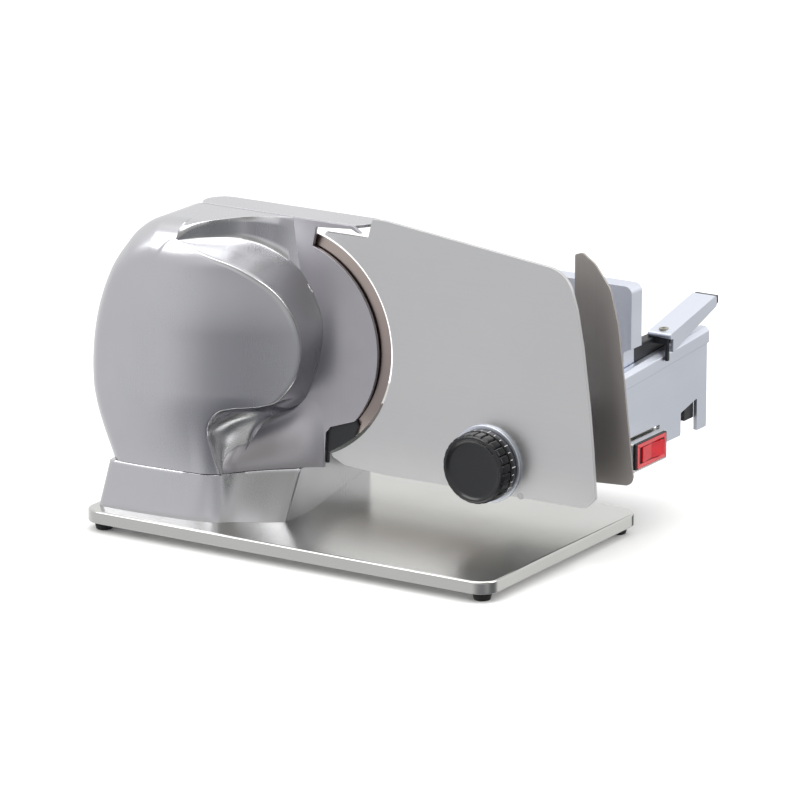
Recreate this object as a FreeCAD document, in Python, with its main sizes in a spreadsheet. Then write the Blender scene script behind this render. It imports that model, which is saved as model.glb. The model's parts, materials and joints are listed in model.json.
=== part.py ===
import FreeCAD, Part
import math
import os
import Sketcher

# Deli meat slicer with a 178 mm blade.  Millimetres.
# Origin: on the floor under the centre of the base plate.
# +X runs from the blade housing towards the carriage wall, +Y from the slice side
# (deflector, thickness knob) to the food side, +Z up.  The blade turns about Y.

V = FreeCAD.Vector
doc = FreeCAD.newDocument("MeatSlicer")
sheet = doc.addObject("Spreadsheet::Sheet", "Sizes")

SIZES = [
    # base and feet
    ("base_length", 366.0), ("base_width", 225.0), ("base_thick", 10.0), ("base_corner", 15.0),
    ("base_skin", 4.0), ("base_rim", 6.0), ("foot_height", 7.0), ("foot_radius", 7.8),
    ("foot_bore", 2.2), ("foot_inset", 13.0), ("screw_shank", 2.0), ("screw_head", 3.6),
    # pedestal and housing
    ("pedestal_height", 37.0), ("shell_wall", 2.5),
    ("housing_top", 247.0), ("ring_face", -25.5), ("ring_thick", 3.0),
    # blade and its drive
    ("blade_x", -50.0), ("blade_z", 149.0), ("blade_radius", 89.0), ("blade_thick", 2.0),
    ("cut_plane", -17.5), ("bevel_width", 7.5), ("deflector_radius", 81.5), ("plate_arc", 92.0),
    ("gear_module", 1.0), ("blade_teeth", 56.0), ("small_teeth", 14.0), ("idler_teeth", 46.0),
    ("gear_width", 8.0), ("spindle_radius", 5.0), ("idler_pin_radius", 3.0),
    ("running_gap", 0.05), ("stator_radius", 27.0), ("armature_radius", 15.5),
    ("motor_shaft_radius", 4.0), ("commutator_radius", 9.0),
    # gauge plate and its adjuster
    ("plate_thick", 3.0), ("knob_x", 125.5), ("knob_z", 78.0), ("knob_radius", 27.5),
    ("knob_length", 18.0), ("screw_radius", 3.0), ("rod_radius", 2.5), ("rod_z", 57.0),
    # rail, carriage and pusher
    ("rail_near", 84.5), ("rail_far", 136.5), ("rail_low", 54.1), ("rail_top", 77.0),
    ("rail_end", 183.0), ("rail_wall", 3.0), ("wall_face", 183.0), ("wall_thick", 3.0),
    ("shelf_low", 84.5), ("shelf_thick", 3.0), ("guard_near", 8.5), ("guard_thick", 2.0),
    ("pusher_near", 95.5), ("pusher_thick", 16.0), ("guide_radius", 4.0),
]
for row, (alias, value) in enumerate(SIZES, start=1):
    sheet.set("A%d" % row, alias)
    sheet.set("B%d" % row, str(value))
    sheet.setAlias("B%d" % row, alias)
doc.recompute()

size = {alias: float(sheet.get(alias)) for alias, value in SIZES}
NODES = []


# ---------------------------------------------------------------- drawing helpers
def amount(term):
    """The value of a sheet cell, of a cell with a minus sign, or of a plain number."""
    if isinstance(term, str):
        if term.startswith("-"):
            return -size[term[1:]]
        return size[term]
    return float(term)


def bind(feature, prop, term, flip=False):
    """Set a property, and tie it to the sheet when the term names a cell."""
    if isinstance(term, str):
        sign = "-" if flip else ""
        name = "Sizes." + term
        if term.startswith("-"):
            sign = "" if flip else "-"
            name = "Sizes." + term[1:]
        feature.setExpression(prop, sign + name)
    elif prop.startswith("AttachmentOffset"):
        value = -term if flip else term
        feature.AttachmentOffset = FreeCAD.Placement(V(0, 0, value), FreeCAD.Rotation())
    else:
        setattr(feature, prop, term)


def new_body(label):
    body = doc.addObject("PartDesign::Body", label)
    body.Label = label
    NODES.append(body)
    return body


def sketch_at(body, plane, start):
    """A sketch on one of the body's own planes, at the given height along +X, +Y or +Z."""
    sketch = body.newObject("Sketcher::SketchObject", body.Label + "_sketch")
    origin_plane = [item for item in body.Origin.OriginFeatures if item.Role == plane + "_Plane"][0]
    sketch.AttachmentSupport = [(origin_plane, "")]
    sketch.MapMode = "FlatFace"
    bind(sketch, "AttachmentOffset.Base.z", start, flip=(plane == "XZ"))
    return sketch


def extrude(body, kind, plane, start, depth, edges):
    """Pad or pocket: from start along +X or +Z, and from start towards -Y in the XZ plane."""
    sketch = sketch_at(body, plane, start)
    sketch.addGeometry(edges, False)
    feature = body.newObject("PartDesign::" + kind, body.Label + "_" + kind.lower())
    feature.Profile = sketch
    bind(feature, "Length", depth)
    if kind == "Pocket":
        feature.Reversed = True
    return feature


def pad(body, plane, start, depth, edges):
    return extrude(body, "Pad", plane, start, depth, edges)


def pocket(body, plane, start, depth, edges):
    """A pocket that is proved to remove material."""
    doc.recompute()
    before = body.Shape.Volume
    feature = extrude(body, "Pocket", plane, start, depth, edges)
    doc.recompute()
    if body.Shape.Volume > before - 0.01:
        raise RuntimeError(body.Label + ": a pocket removed nothing")
    return feature


def round_feature(body, kind, plane, start, depth, centre, radius):
    """A round pad or pocket whose radius is a sketch constraint tied to the sheet."""
    sketch = sketch_at(body, plane, start)
    circle = Part.Circle(V(centre[0], centre[1], 0), V(0, 0, 1), amount(radius))
    index = sketch.addGeometry(circle, False)
    sketch.addConstraint(Sketcher.Constraint("DistanceX", -1, 1, index, 3, centre[0]))
    sketch.addConstraint(Sketcher.Constraint("DistanceY", -1, 1, index, 3, centre[1]))
    held = sketch.addConstraint(Sketcher.Constraint("Radius", index, amount(radius)))
    if isinstance(radius, str):
        sketch.renameConstraint(held, "radius")
        sketch.setExpression("Constraints.radius", "Sizes." + radius)
    feature = body.newObject("PartDesign::" + kind, body.Label + "_round")
    feature.Profile = sketch
    bind(feature, "Length", depth)
    if kind == "Pocket":
        feature.Reversed = True
    return feature


def round_pad(body, plane, start, depth, centre, radius):
    return round_feature(body, "Pad", plane, start, depth, centre, radius)


def round_pocket(body, plane, start, depth, centre, radius):
    doc.recompute()
    before = body.Shape.Volume
    feature = round_feature(body, "Pocket", plane, start, depth, centre, radius)
    doc.recompute()
    if body.Shape.Volume > before - 0.01:
        raise RuntimeError(body.Label + ": a bore removed nothing")
    return feature


def dress(body, kind, amount_mm, chosen):
    """Fillet or chamfer the edges of the body's present shape that chosen accepts."""
    doc.recompute()
    base = body.Tip
    names = ["Edge%d" % (index + 1) for index, item in enumerate(base.Shape.Edges) if chosen(item)]
    feature = body.newObject("PartDesign::" + kind, body.Label + "_" + kind.lower())
    feature.Base = (base, names)
    if kind == "Fillet":
        feature.Radius = amount_mm
    else:
        feature.Size = amount_mm
    return feature


def outline(corners, radius=0.0):
    """Closed outline of straight runs; a corner is (u, v) or (u, v, its own radius)."""
    points = [V(item[0], item[1], 0) for item in corners]
    radii = [item[2] if len(item) > 2 else radius for item in corners]
    starts = []
    ends = []
    edges = []
    for index, here in enumerate(points):
        before = (points[index - 1] - here).normalize()
        after = (points[(index + 1) % len(points)] - here).normalize()
        if radii[index] <= 0:
            starts.append(here)
            ends.append(here)
            continue
        half = before.getAngle(after) / 2
        reach = radii[index] / math.tan(half)
        middle = (before + after).normalize()
        centre = here + middle * (radii[index] / math.sin(half))
        starts.append(here + before * reach)
        ends.append(here + after * reach)
        edges.append(Part.Arc(starts[-1], centre - middle * radii[index], ends[-1]))
    for index in range(len(points)):
        follow = (index + 1) % len(points)
        if (starts[follow] - ends[index]).Length > 1e-6:
            edges.append(Part.LineSegment(ends[index], starts[follow]))
    return edges


def box_outline(low_u, low_v, high_u, high_v, radius=0.0):
    return outline([(low_u, low_v), (high_u, low_v), (high_u, high_v), (low_u, high_v)], radius)


def ring(centre, radii):
    """Concentric circles for a washer, tube or disc with a hole."""
    return [Part.Circle(V(centre[0], centre[1], 0), V(0, 0, 1), amount(value)) for value in radii]


def rod(name, start, axis, radius, length):
    """A Part cylinder from start along axis, tied to the sheet where its sizes name cells."""
    item = doc.addObject("Part::Cylinder", name)
    bind(item, "Radius", radius)
    bind(item, "Height", length)
    item.Placement = FreeCAD.Placement(start, FreeCAD.Rotation(V(0, 0, 1), axis))
    return item


def fused(name, pieces):
    item = doc.addObject("Part::MultiFuse", name)
    item.Shapes = pieces
    return item


def screw(name, seat, axis, length, shank="screw_shank", head="screw_head", height=2.4):
    """A screw whose head stands on seat and whose shank runs length along axis."""
    shank_piece = rod(name + "_shank", seat, axis, shank, length)
    head_piece = rod(name + "_head", seat - axis * height, axis, head, height)
    socket = doc.addObject("Part::Prism", name + "_socket")
    socket.Polygon = 6
    socket.Circumradius = amount(head) * 0.5
    socket.Height = height * 0.6
    socket.Placement = FreeCAD.Placement(seat - axis * height, FreeCAD.Rotation(V(0, 0, 1), axis))
    whole = fused(name + "_solid", [shank_piece, head_piece])
    cut = doc.addObject("Part::Cut", name)
    cut.Base = whole
    cut.Tool = socket
    return cut


def group(label, pieces):
    """Identical loose pieces that share one node."""
    item = doc.addObject("Part::Compound", label)
    item.Label = label
    item.Links = pieces
    NODES.append(item)
    return item


def shaped(label, shape):
    """A sub-part whose form needs direct solids."""
    item = doc.addObject("Part::Feature", label)
    item.Label = label
    item.Shape = shape
    item.Placement = FreeCAD.Placement()
    NODES.append(item)
    return item


def prism(edges, plane, start, depth):
    """A plain solid from an outline: along +Z from start, or towards -Y from start."""
    face = Part.Face(Part.Wire(Part.__sortEdges__([item.toShape() for item in edges])))
    if plane == "XZ":
        face.rotate(V(0, 0, 0), V(1, 0, 0), 90)
        face.translate(V(0, start, 0))
        return face.extrude(V(0, -depth, 0))
    face.translate(V(0, 0, start))
    return face.extrude(V(0, 0, depth))


def disc(centre, start, depth, radius):
    """A plain cylinder about a Y axis through centre (x, z), from start towards -Y."""
    return Part.makeCylinder(radius, depth, V(centre[0], start, centre[1]), V(0, -1, 0))


def on_circle(centre, radius, degrees):
    angle = math.radians(degrees)
    return (centre[0] + radius * math.cos(angle), centre[1] + radius * math.sin(angle))


UP = V(0, 0, 1)
BACK = V(0, 1, 0)
NEAR = V(0, -1, 0)
LEFT = V(-1, 0, 0)

base_low = size["foot_height"]
base_top = base_low + size["base_thick"]
pedestal_top = base_top + size["pedestal_height"]
blade_centre = (size["blade_x"], size["blade_z"])
knob_centre = (size["knob_x"], size["knob_z"])
ring_back = size["ring_face"] + size["ring_thick"]


# ---------------------------------------------------------------- base and feet
def build_base():
    half_x = size["base_length"] / 2
    half_y = size["base_width"] / 2
    feet = [(sx * (half_x - size["foot_inset"]), sy * (half_y - size["foot_inset"]))
            for sx in (-1, 1) for sy in (-1, 1)]

    body = new_body("base_plate")
    pad(body, "XY", base_low, "base_thick", box_outline(-half_x, -half_y, half_x, half_y, size["base_corner"]))
    # hollow underside, with a solid corner over every foot
    rim_x = half_x - size["base_rim"]
    rim_y = half_y - size["base_rim"]
    step = 30.0
    hollow = [(-rim_x + step, -rim_y), (rim_x - step, -rim_y), (rim_x - step, -rim_y + step),
              (rim_x, -rim_y + step), (rim_x, rim_y - step), (rim_x - step, rim_y - step),
              (rim_x - step, rim_y), (-rim_x + step, rim_y), (-rim_x + step, rim_y - step),
              (-rim_x, rim_y - step), (-rim_x, -rim_y + step), (-rim_x + step, -rim_y + step)]
    pocket(body, "XY", base_low, size["base_thick"] - size["base_skin"], outline(hollow, 4.0))
    for place in feet:
        round_pocket(body, "XY", base_low, 8.0, place, "foot_bore")
    dress(body, "Fillet", 1.8, lambda item: item.BoundBox.ZMin > base_top - 0.01)

    feet_pieces = []
    screws = []
    for index, (x, y) in enumerate(feet):
        foot = doc.addObject("Part::Cone", "foot_%d" % index)
        foot.Radius1 = size["foot_radius"] - 1.5
        bind(foot, "Radius2", "foot_radius")
        bind(foot, "Height", "foot_height")
        foot.Placement = FreeCAD.Placement(V(x, y, 0), FreeCAD.Rotation())
        bore = rod("foot_bore_%d" % index, V(x, y, -1), UP, "foot_bore", 10.0)
        recess = rod("foot_recess_%d" % index, V(x, y, -1), UP, 4.0, 4.0)
        cut = doc.addObject("Part::Cut", "foot_ring_%d" % index)
        cut.Base = foot
        cut.Tool = fused("foot_tools_%d" % index, [bore, recess])
        feet_pieces.append(cut)
        screws.append(screw("foot_screw_%d" % index, V(x, y, 3.0), UP, 10.0, height=2.2))
    group("rubber_feet", feet_pieces)
    return screws


# ---------------------------------------------------------------- pedestal
PEDESTAL_TOP_PLAN = [(-169.5, -94.2), (-130, -94.2), (-96, -91.4), (-80, -88.2), (-71, -82), (-66, -73),
                     (-50, -53.5), (-31, -36)]
PEDESTAL_FOOT_PLAN = [(-177, -98.5), (-137, -98), (-102, -95), (-84, -91), (-70, -86.2), (-58, -79.5),
                      (-44, -69.5), (-30, -58)]


PEDESTAL_BACK = (-58.0, 108.0)
SIDE_BEND = -24.0


def plan_wire(front_line, inset, z):
    """Plan of the pedestal at one height: curved front, slanted right side, straight back and left side."""
    front = [V(x, y + inset, z) for x, y in front_line]
    front[0].x += inset
    front[-1].x -= inset
    curve = Part.BSplineCurve()
    curve.interpolate(front)
    right, back = PEDESTAL_BACK
    corners = [front[-1], V(front[-1].x, SIDE_BEND, z), V(right - inset, back - inset, z),
               V(front[0].x, back - inset, z), front[0]]
    return Part.Wire([curve.toShape()] + [Part.LineSegment(first, second).toShape()
                                          for first, second in zip(corners, corners[1:])])


def build_pedestal():
    wall = size["shell_wall"]
    outer = Part.makeLoft([plan_wire(PEDESTAL_FOOT_PLAN, 0, base_top + 0.05),
                           plan_wire(PEDESTAL_TOP_PLAN, 0, pedestal_top)], True, True)
    inner = Part.makeLoft([plan_wire(PEDESTAL_FOOT_PLAN, wall, base_top - 0.5),
                           plan_wire(PEDESTAL_TOP_PLAN, wall, pedestal_top - wall)], True, True)
    shell = outer.cut(inner)
    # opening in the top under the motor and the gears, and the hole for the cord gland
    opening = prism(outline(MOTOR_WELL, 6.0), "XY", pedestal_top - 5, 10)
    gland_hole = Part.makeCylinder(7.0, 12, V(-110, 100, 35), BACK)
    holes = [Part.makeCylinder(2.1, 10, V(x, y, pedestal_top - 5), UP) for x, y in HOUSING_SCREWS]
    rail_holes = [Part.makeCylinder(2.1, 10, V(x, 98.0, pedestal_top - 5), UP) for x in RAIL_SCREWS]
    shaped("pedestal", shell.cut(opening).cut(gland_hole).cut(Part.makeCompound(holes + rail_holes)))

    gland = new_body("cord_gland")
    round_pad(gland, "XZ", 116.0, 8.0, (-110, 35), 10.0)
    round_pad(gland, "XZ", 108.0, 10.0, (-110, 35), 6.8)
    round_pocket(gland, "XZ", 117.0, 30.0, (-110, 35), 3.6)

    can = new_body("suppression_capacitor")
    round_pad(can, "YZ", -100.0, 32.0, (50, base_top + 10), 9.5)
    round_pad(can, "YZ", -68.0, 3.0, (50, base_top + 10), 3.0)


MOTOR_WELL = [(-148, -86), (-100, -84), (-78, -76), (-70, -60), (-70, -38), (-148, -38)]
HOUSING_SCREWS = [(-158.0, -80.0), (-48.0, -33.0), (-150.0, -33.0)]
RAIL_SCREWS = [-140.0, -80.0]


# ---------------------------------------------------------------- motor housing and deflector
LEFT_EDGE = [(-169.5, 54.1), (-183.0, 143.0), (-154.0, 228.0), (-144.0, 240.0), (-128.0, 247.0)]
LOBE_CENTRE = (-78.0, 158.0)
CURL = [(-52.0, 106.6), (-66.0, 105.0), (-76.0, 98.5), (-80.0, 88.0), (-78.0, 75.0), (-73.0, 54.1)]
BULGE_PLAN = [(-190, -101.0), (-135, -102), (-105, -99.8), (-84, -94.5), (-66, -86.5), (-48, -75.5), (-30, -60),
              (-18, -47), (-8, -34)]
RECESS_PLAN = [(-84, -84), (-70, -78), (-66, -72.5), (-50, -53.5), (-31, -36)]


def silhouette(inset):
    """The housing seen along Y: swelling left side, flat top, round lobe in front of the blade."""
    top = size["housing_top"] - inset
    left = [V(x + inset, z, 0) for x, z in LEFT_EDGE]
    left[-1].y = top
    lobe = 64.0 - inset
    first = on_circle(LOBE_CENTRE, lobe, 68)
    last = on_circle(LOBE_CENTRE, lobe, -56)
    over = Part.Arc(V(first[0], first[1], 0), V(LOBE_CENTRE[0] + lobe, LOBE_CENTRE[1], 0), V(last[0], last[1], 0))
    curl = Part.BSplineCurve()
    curl.interpolate([V(last[0], last[1], 0)] + [V(x - inset, z + inset * (1 if z > 100 else 0), 0)
                                                 for x, z in CURL])
    ridge = V(-88.0, top, 0)
    foot = V(CURL[-1][0] - inset, CURL[-1][1], 0)
    return [Part.Arc(left[0], left[1], left[2]), Part.Arc(left[2], left[3], left[4]),
            Part.LineSegment(left[4], ridge), Part.LineSegment(ridge, V(first[0], first[1], 0)), over,
            curl, Part.LineSegment(foot, left[0])]


def plan_edges(line, inset, back):
    """A plan outline: a smooth front through the points, closed straight at the back."""
    front = [V(x, y + inset, 0) for x, y in line]
    curve = Part.BSplineCurve()
    curve.interpolate(front)
    corners = [front[-1], V(front[-1].x, back, 0), V(front[0].x, back, 0), front[0]]
    return [curve] + [Part.LineSegment(first, second) for first, second in zip(corners, corners[1:])]


def bulge(inset):
    """The deep bulge over the motor, and the shallow recessed corner to the right of its foot."""
    low = pedestal_top + 0.1
    back = size["ring_face"] - 0.1 + (1.0 if inset else 0.0)
    side = prism(silhouette(inset), "XZ", back, 90.0)
    plan = prism(plan_edges(BULGE_PLAN, inset, back), "XY", low - 1, size["housing_top"] - low + 2)
    corner = prism(outline([(-86, low), (-31 - inset, low), (-31 - inset, 90 - inset), (-45, 96 - inset),
                            (-86, 96 - inset)]), "XZ", back, 90.0)
    recess = prism(plan_edges(RECESS_PLAN, inset, back), "XY", low - 1, 60.0)
    return side.common(plan).fuse(corner.common(recess))


def build_housing():
    wall = size["shell_wall"]
    low = pedestal_top + 0.1
    shell = bulge(0.0).cut(bulge(wall))
    # the bottom stays open over the pedestal, with lugs for the screws
    shell = shell.cut(prism(outline(MOTOR_WELL, 6.0), "XY", low - 2, 8))
    shell = shell.cut(Part.makeCompound([Part.makeCylinder(1.95, 12, V(x, y, low - 1), UP)
                                         for x, y in HOUSING_SCREWS]))
    slots = [Part.makeBox(24, 34, 2.6, V(-186, -84, 76 + 7 * step)) for step in range(6)]
    shell = shell.cut(Part.makeCompound(slots))
    shaped("motor_housing", shell)

    # flat ring beside the blade, with the web up to the top band
    centre = blade_centre
    edge = size["deflector_radius"]
    top = size["housing_top"]
    start = on_circle(centre, edge, 73)
    end = on_circle(centre, edge, -42)
    rim = Part.Arc(V(start[0], start[1], 0), V(centre[0] + edge, centre[1], 0), V(end[0], end[1], 0))
    edge_points = [V(x, z, 0) for x, z in LEFT_EDGE]
    left_side = Part.Arc(*edge_points[:3])
    shoulder = Part.Arc(*edge_points[2:])
    corner = [edge_points[-1], V(10, top, 0), V(17, top - 5, 0), V(14, top - 5, 0), V(8, top - 2.5, 0),
              V(start[0] + 3, top - 5, 0), V(start[0], start[1], 0)]
    foot = [V(end[0], end[1], 0), V(-11.0, 87.0, 0), V(-15.0, 82.0, 0), V(-17.0, low, 0), edge_points[0]]
    edges = [left_side, shoulder, rim]
    for run in (corner, foot):
        edges += [Part.LineSegment(run[k], run[k + 1]) for k in range(len(run) - 1)]
    plate = prism(edges, "XZ", ring_back, size["ring_thick"])
    plate = plate.cut(disc(centre, ring_back + 1, 10, 20.0))
    plate = plate.cut(Part.makeCompound([Part.makeCylinder(2.1, 10, V(x, ring_back + 1, z), NEAR)
                                         for x, z in FRAME_SCREWS]))
    shaped("deflector_plate", plate)

    # top band that reaches over the blade to the food side
    hood = new_body("top_hood")
    pad(hood, "XY", top - 2.5, 2.5,
        outline([(-128, ring_back + 0.1), (10, ring_back + 0.1), (17, -12), (14, 5.5), (-150, 5.5, 16)]))
    pad(hood, "XZ", 5.5, 2.5, outline([(-110, top - 9, 3), (14, top - 4), (14, top - 1), (-110, top - 1)]))

    # ring guard round the covered half of the blade
    guard_in = size["blade_radius"] + 1.2
    guard_out = guard_in + 4.0
    arc_in = [on_circle(centre, guard_in, a) for a in (84, 180, 286)]
    arc_out = [on_circle(centre, guard_out, a) for a in (84, 180, 286)]
    ring_edges = [Part.Arc(*[V(p[0], p[1], 0) for p in arc_in]),
                  Part.Arc(*[V(p[0], p[1], 0) for p in arc_out]),
                  Part.LineSegment(V(arc_in[0][0], arc_in[0][1], 0), V(arc_out[0][0], arc_out[0][1], 0)),
                  Part.LineSegment(V(arc_in[2][0], arc_in[2][1], 0), V(arc_out[2][0], arc_out[2][1], 0))]
    guard = new_body("blade_ring_guard")
    pad(guard, "XZ", size["cut_plane"] + 1.5, size["cut_plane"] + 1.5 - ring_back - 0.1, ring_edges)

    black = new_body("lower_blade_guard")
    pad(black, "XZ", ring_back + 2.6, 2.5,
        outline([(-24, 57.5), (-14.8, 57.0), (-14.6, 65.6), (-3.4, 72.4), (8.4, 80.6), (12, 90), (9, 99),
                 (-10, 99), (-24, 90)], 1.0))

    screws = []
    for index, (x, y) in enumerate(HOUSING_SCREWS):
        screws.append(screw("housing_screw_%d" % index, V(x, y, pedestal_top - 2.6), UP, 4.9,
                            shank=1.85))
    return screws


FRAME_SCREWS = [(-112.0, 172.0), (-112.0, 92.0), (-44.0, 196.0)]


# ---------------------------------------------------------------- drive train
def involute_gear(teeth, centre, start, depth, bore, turn):
    """A spur gear with thinned stub involute teeth; turn aims the middle of one tooth."""
    module = size["gear_module"]
    pitch = module * teeth / 2
    base = pitch * math.cos(math.radians(20))
    tip = pitch + 0.8 * module
    root = pitch - 1.05 * module
    backlash = 0.16
    flat = math.tan(math.radians(20)) - math.radians(20)
    half_pitch = (math.pi * module / 2 - backlash) / (2 * pitch)
    points = []
    for tooth in range(teeth):
        middle = math.radians(turn) + 2 * math.pi * tooth / teeth
        flank = []
        low = max(base, root)
        for step in range(5):
            radius = low + (tip - low) * step / 4
            pressure = math.acos(min(1.0, base / radius))
            spread = half_pitch + flat - (math.tan(pressure) - pressure)
            flank.append((radius, spread))
        left = [(radius, middle - spread) for radius, spread in flank]
        right = [(radius, middle + spread) for radius, spread in reversed(flank)]
        if root < low:
            left.insert(0, (root, left[0][1]))
            right.append((root, right[-1][1]))
        points += left + right
    corners = [V(centre[0] + radius * math.cos(angle), start, centre[1] + radius * math.sin(angle))
               for radius, angle in points]
    wire = Part.makePolygon(corners + [corners[0]])
    gear = Part.Face(wire).extrude(V(0, -depth, 0))
    return gear.cut(disc(centre, start + 1, depth + 2, bore)) if bore else gear


def direction(start, end):
    return math.degrees(math.atan2(end[1] - start[1], end[0] - start[0]))


blade_teeth = int(size["blade_teeth"])
small_teeth = int(size["small_teeth"])
idler_teeth = int(size["idler_teeth"])
idler_centre = on_circle(blade_centre, size["gear_module"] * (blade_teeth + small_teeth) / 2, 200)
motor_centre = on_circle(idler_centre, size["gear_module"] * (idler_teeth + small_teeth) / 2, 195)


def build_drive():
    gap = size["running_gap"]
    spindle = size["spindle_radius"]

    frame = new_body("blade_frame")
    pad(frame, "XZ", size["ring_face"] - 0.6, 4.0,
        outline([(-118, pedestal_top + 8), (-85, pedestal_top + 8), (-85, 108), (-64, 112), (-40, 120),
                 (-26, 142), (-25, 165), (-36, 190), (-56, 204), (-104, 204), (-128, 176), (-128, 90)], 2.0))
    round_pocket(frame, "XZ", -20.0, 20.0, blade_centre, 8.0)
    round_pocket(frame, "XZ", -20.0, 20.0, idler_centre, "idler_pin_radius")
    for place in FRAME_SCREWS:
        round_pocket(frame, "XZ", -20.0, 20.0, place, 2.05)

    plate = new_body("gear_plate")
    pad(plate, "XZ", -49.5, 3.5,
        outline([(motor_centre[0] - 30, 108), (-100, 92), (-88, 98), (-76, 108), (-46, 118), (-34, 134), (-34, 166),
                 (-60, 182), (-118, 172), (motor_centre[0] - 30, 152)], 9.0))
    round_pocket(plate, "XZ", -40.0, 20.0, blade_centre, 8.0)
    round_pocket(plate, "XZ", -40.0, 20.0, idler_centre, "idler_pin_radius")
    round_pocket(plate, "XZ", -40.0, 20.0, motor_centre, 9.0)

    pillars = [rod("pillar_%d" % index, V(x, -49.5, z), BACK, 4.0, 19.4)
               for index, (x, z) in enumerate([(-120.0, 158.0), (-92.0, 104.0), (-92.0, 170.0)])]
    group("gearbox_pillars", pillars)

    bushes = []
    for index, start in enumerate((-26.1, -49.5)):
        outer = rod("bush_outer_%d" % index, V(blade_centre[0], start, blade_centre[1]), NEAR, 8.0, 4.0)
        bore = rod("bush_bore_%d" % index, V(blade_centre[0], start + 1, blade_centre[1]), NEAR,
                   spindle + gap, 8.0)
        cut = doc.addObject("Part::Cut", "bush_%d" % index)
        cut.Base = outer
        cut.Tool = bore
        bushes.append(cut)

    pin = new_body("idler_pin")
    round_pad(pin, "XZ", -26.2, 26.6, idler_centre, "idler_pin_radius")

    # blade side
    shaft = new_body("blade_spindle")
    round_pad(shaft, "XZ", size["cut_plane"] - size["blade_thick"] - 0.1, 34.0, blade_centre, "spindle_radius")
    gear = shaped("blade_gear", involute_gear(blade_teeth, blade_centre, -32.5, size["gear_width"],
                                              spindle, direction(blade_centre, idler_centre)))
    recess = Part.makeCylinder(22, 2.2, V(blade_centre[0], -32.5, blade_centre[1]), NEAR)
    recess = recess.cut(Part.makeCylinder(10, 3, V(blade_centre[0], -32.0, blade_centre[1]), NEAR))
    gear.Shape = gear.Shape.cut(recess)

    hub = new_body("blade_hub")
    round_pad(hub, "XZ", size["cut_plane"] - size["blade_thick"], 4.6, blade_centre, 18.0)
    round_pocket(hub, "XZ", -10.0, 30.0, blade_centre, "spindle_radius")

    blade_near = size["cut_plane"] - size["blade_thick"]
    rim = size["blade_radius"]
    bevel = size["bevel_width"]
    profile = [V(5.2, size["cut_plane"], 0), V(rim, size["cut_plane"], 0),
               V(rim, size["cut_plane"] - 0.35, 0), V(rim - bevel, blade_near, 0), V(5.2, blade_near, 0)]
    blade = new_body("blade")
    section = sketch_at(blade, "XY", "blade_z")
    for index in range(len(profile)):
        here = profile[index] + V(blade_centre[0], 0, 0)
        there = profile[(index + 1) % len(profile)] + V(blade_centre[0], 0, 0)
        section.addGeometry(Part.LineSegment(here, there), False)
    axis = section.addGeometry(Part.LineSegment(V(blade_centre[0], -40, 0), V(blade_centre[0], 0, 0)), True)
    turn = blade.newObject("PartDesign::Revolution", "blade_disc")
    turn.Profile = section
    turn.ReferenceAxis = (section, ["Axis0"])
    turn.Angle = 360.0

    lock = new_body("blade_lock_screw")
    round_pad(lock, "XZ", size["cut_plane"] + 2.6, 2.6, blade_centre, 13.0)
    round_pad(lock, "XZ", size["cut_plane"], 0.0 + size["blade_thick"], blade_centre, 4.9)
    pocket(lock, "XZ", size["cut_plane"] + 3.6, 2.4,
           box_outline(blade_centre[0] - 15, blade_centre[1] - 1.2, blade_centre[0] + 15, blade_centre[1] + 1.2))
    dress(lock, "Chamfer", 0.8, lambda item: item.BoundBox.YMin > size["cut_plane"] + 2.55 and item.Length > 28)

    # idler: a wide gear driven by the motor and a small one that drives the blade gear
    small = involute_gear(small_teeth, idler_centre, -32.5, 10.6, 0,
                          direction(idler_centre, blade_centre) + 180.0 / small_teeth)
    large = involute_gear(idler_teeth, idler_centre, -43.0, 5.2, 0, direction(idler_centre, motor_centre))
    idler = small.fuse(large).cut(disc(idler_centre, -30, 20, size["idler_pin_radius"] + gap))
    shaped("idler_gear", idler)

    # motor, from its pinion to its rear bracket
    shaft_radius = size["motor_shaft_radius"]
    pinion = involute_gear(small_teeth, motor_centre, -42.6, 6.2, shaft_radius,
                           direction(motor_centre, idler_centre) + 180.0 / small_teeth)
    shaped("motor_pinion", pinion)
    motor_shaft = new_body("motor_shaft")
    round_pad(motor_shaft, "XZ", -42.0, 53.0, motor_centre, "motor_shaft_radius")

    fan = new_body("cooling_fan")
    pad(fan, "XZ", -55.0, 1.2, ring(motor_centre, (22.0, shaft_radius)))
    pad(fan, "XZ", -56.2, 3.8, ring(motor_centre, (7.0, shaft_radius)))
    for step in range(9):
        start = on_circle(motor_centre, 6.5, 40 * step)
        end = on_circle(motor_centre, 21.5, 40 * step + 16)
        side = on_circle(motor_centre, 21.5, 40 * step + 20)
        root = on_circle(motor_centre, 6.5, 40 * step + 12)
        pad(fan, "XZ", -56.2, 3.8, outline([start, end, side, root]))

    armature = new_body("motor_armature")
    pad(armature, "XZ", -62.0, 22.0, ring(motor_centre, ("armature_radius", shaft_radius)))
    for step in range(10):
        slot = on_circle(motor_centre, 14.6, 36 * step)
        round_pocket(armature, "XZ", -61.0, 24.0, slot, 1.5)

    commutator = new_body("commutator")
    pad(commutator, "XZ", -86.6, 5.6, ring(motor_centre, ("commutator_radius", shaft_radius)))

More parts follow.
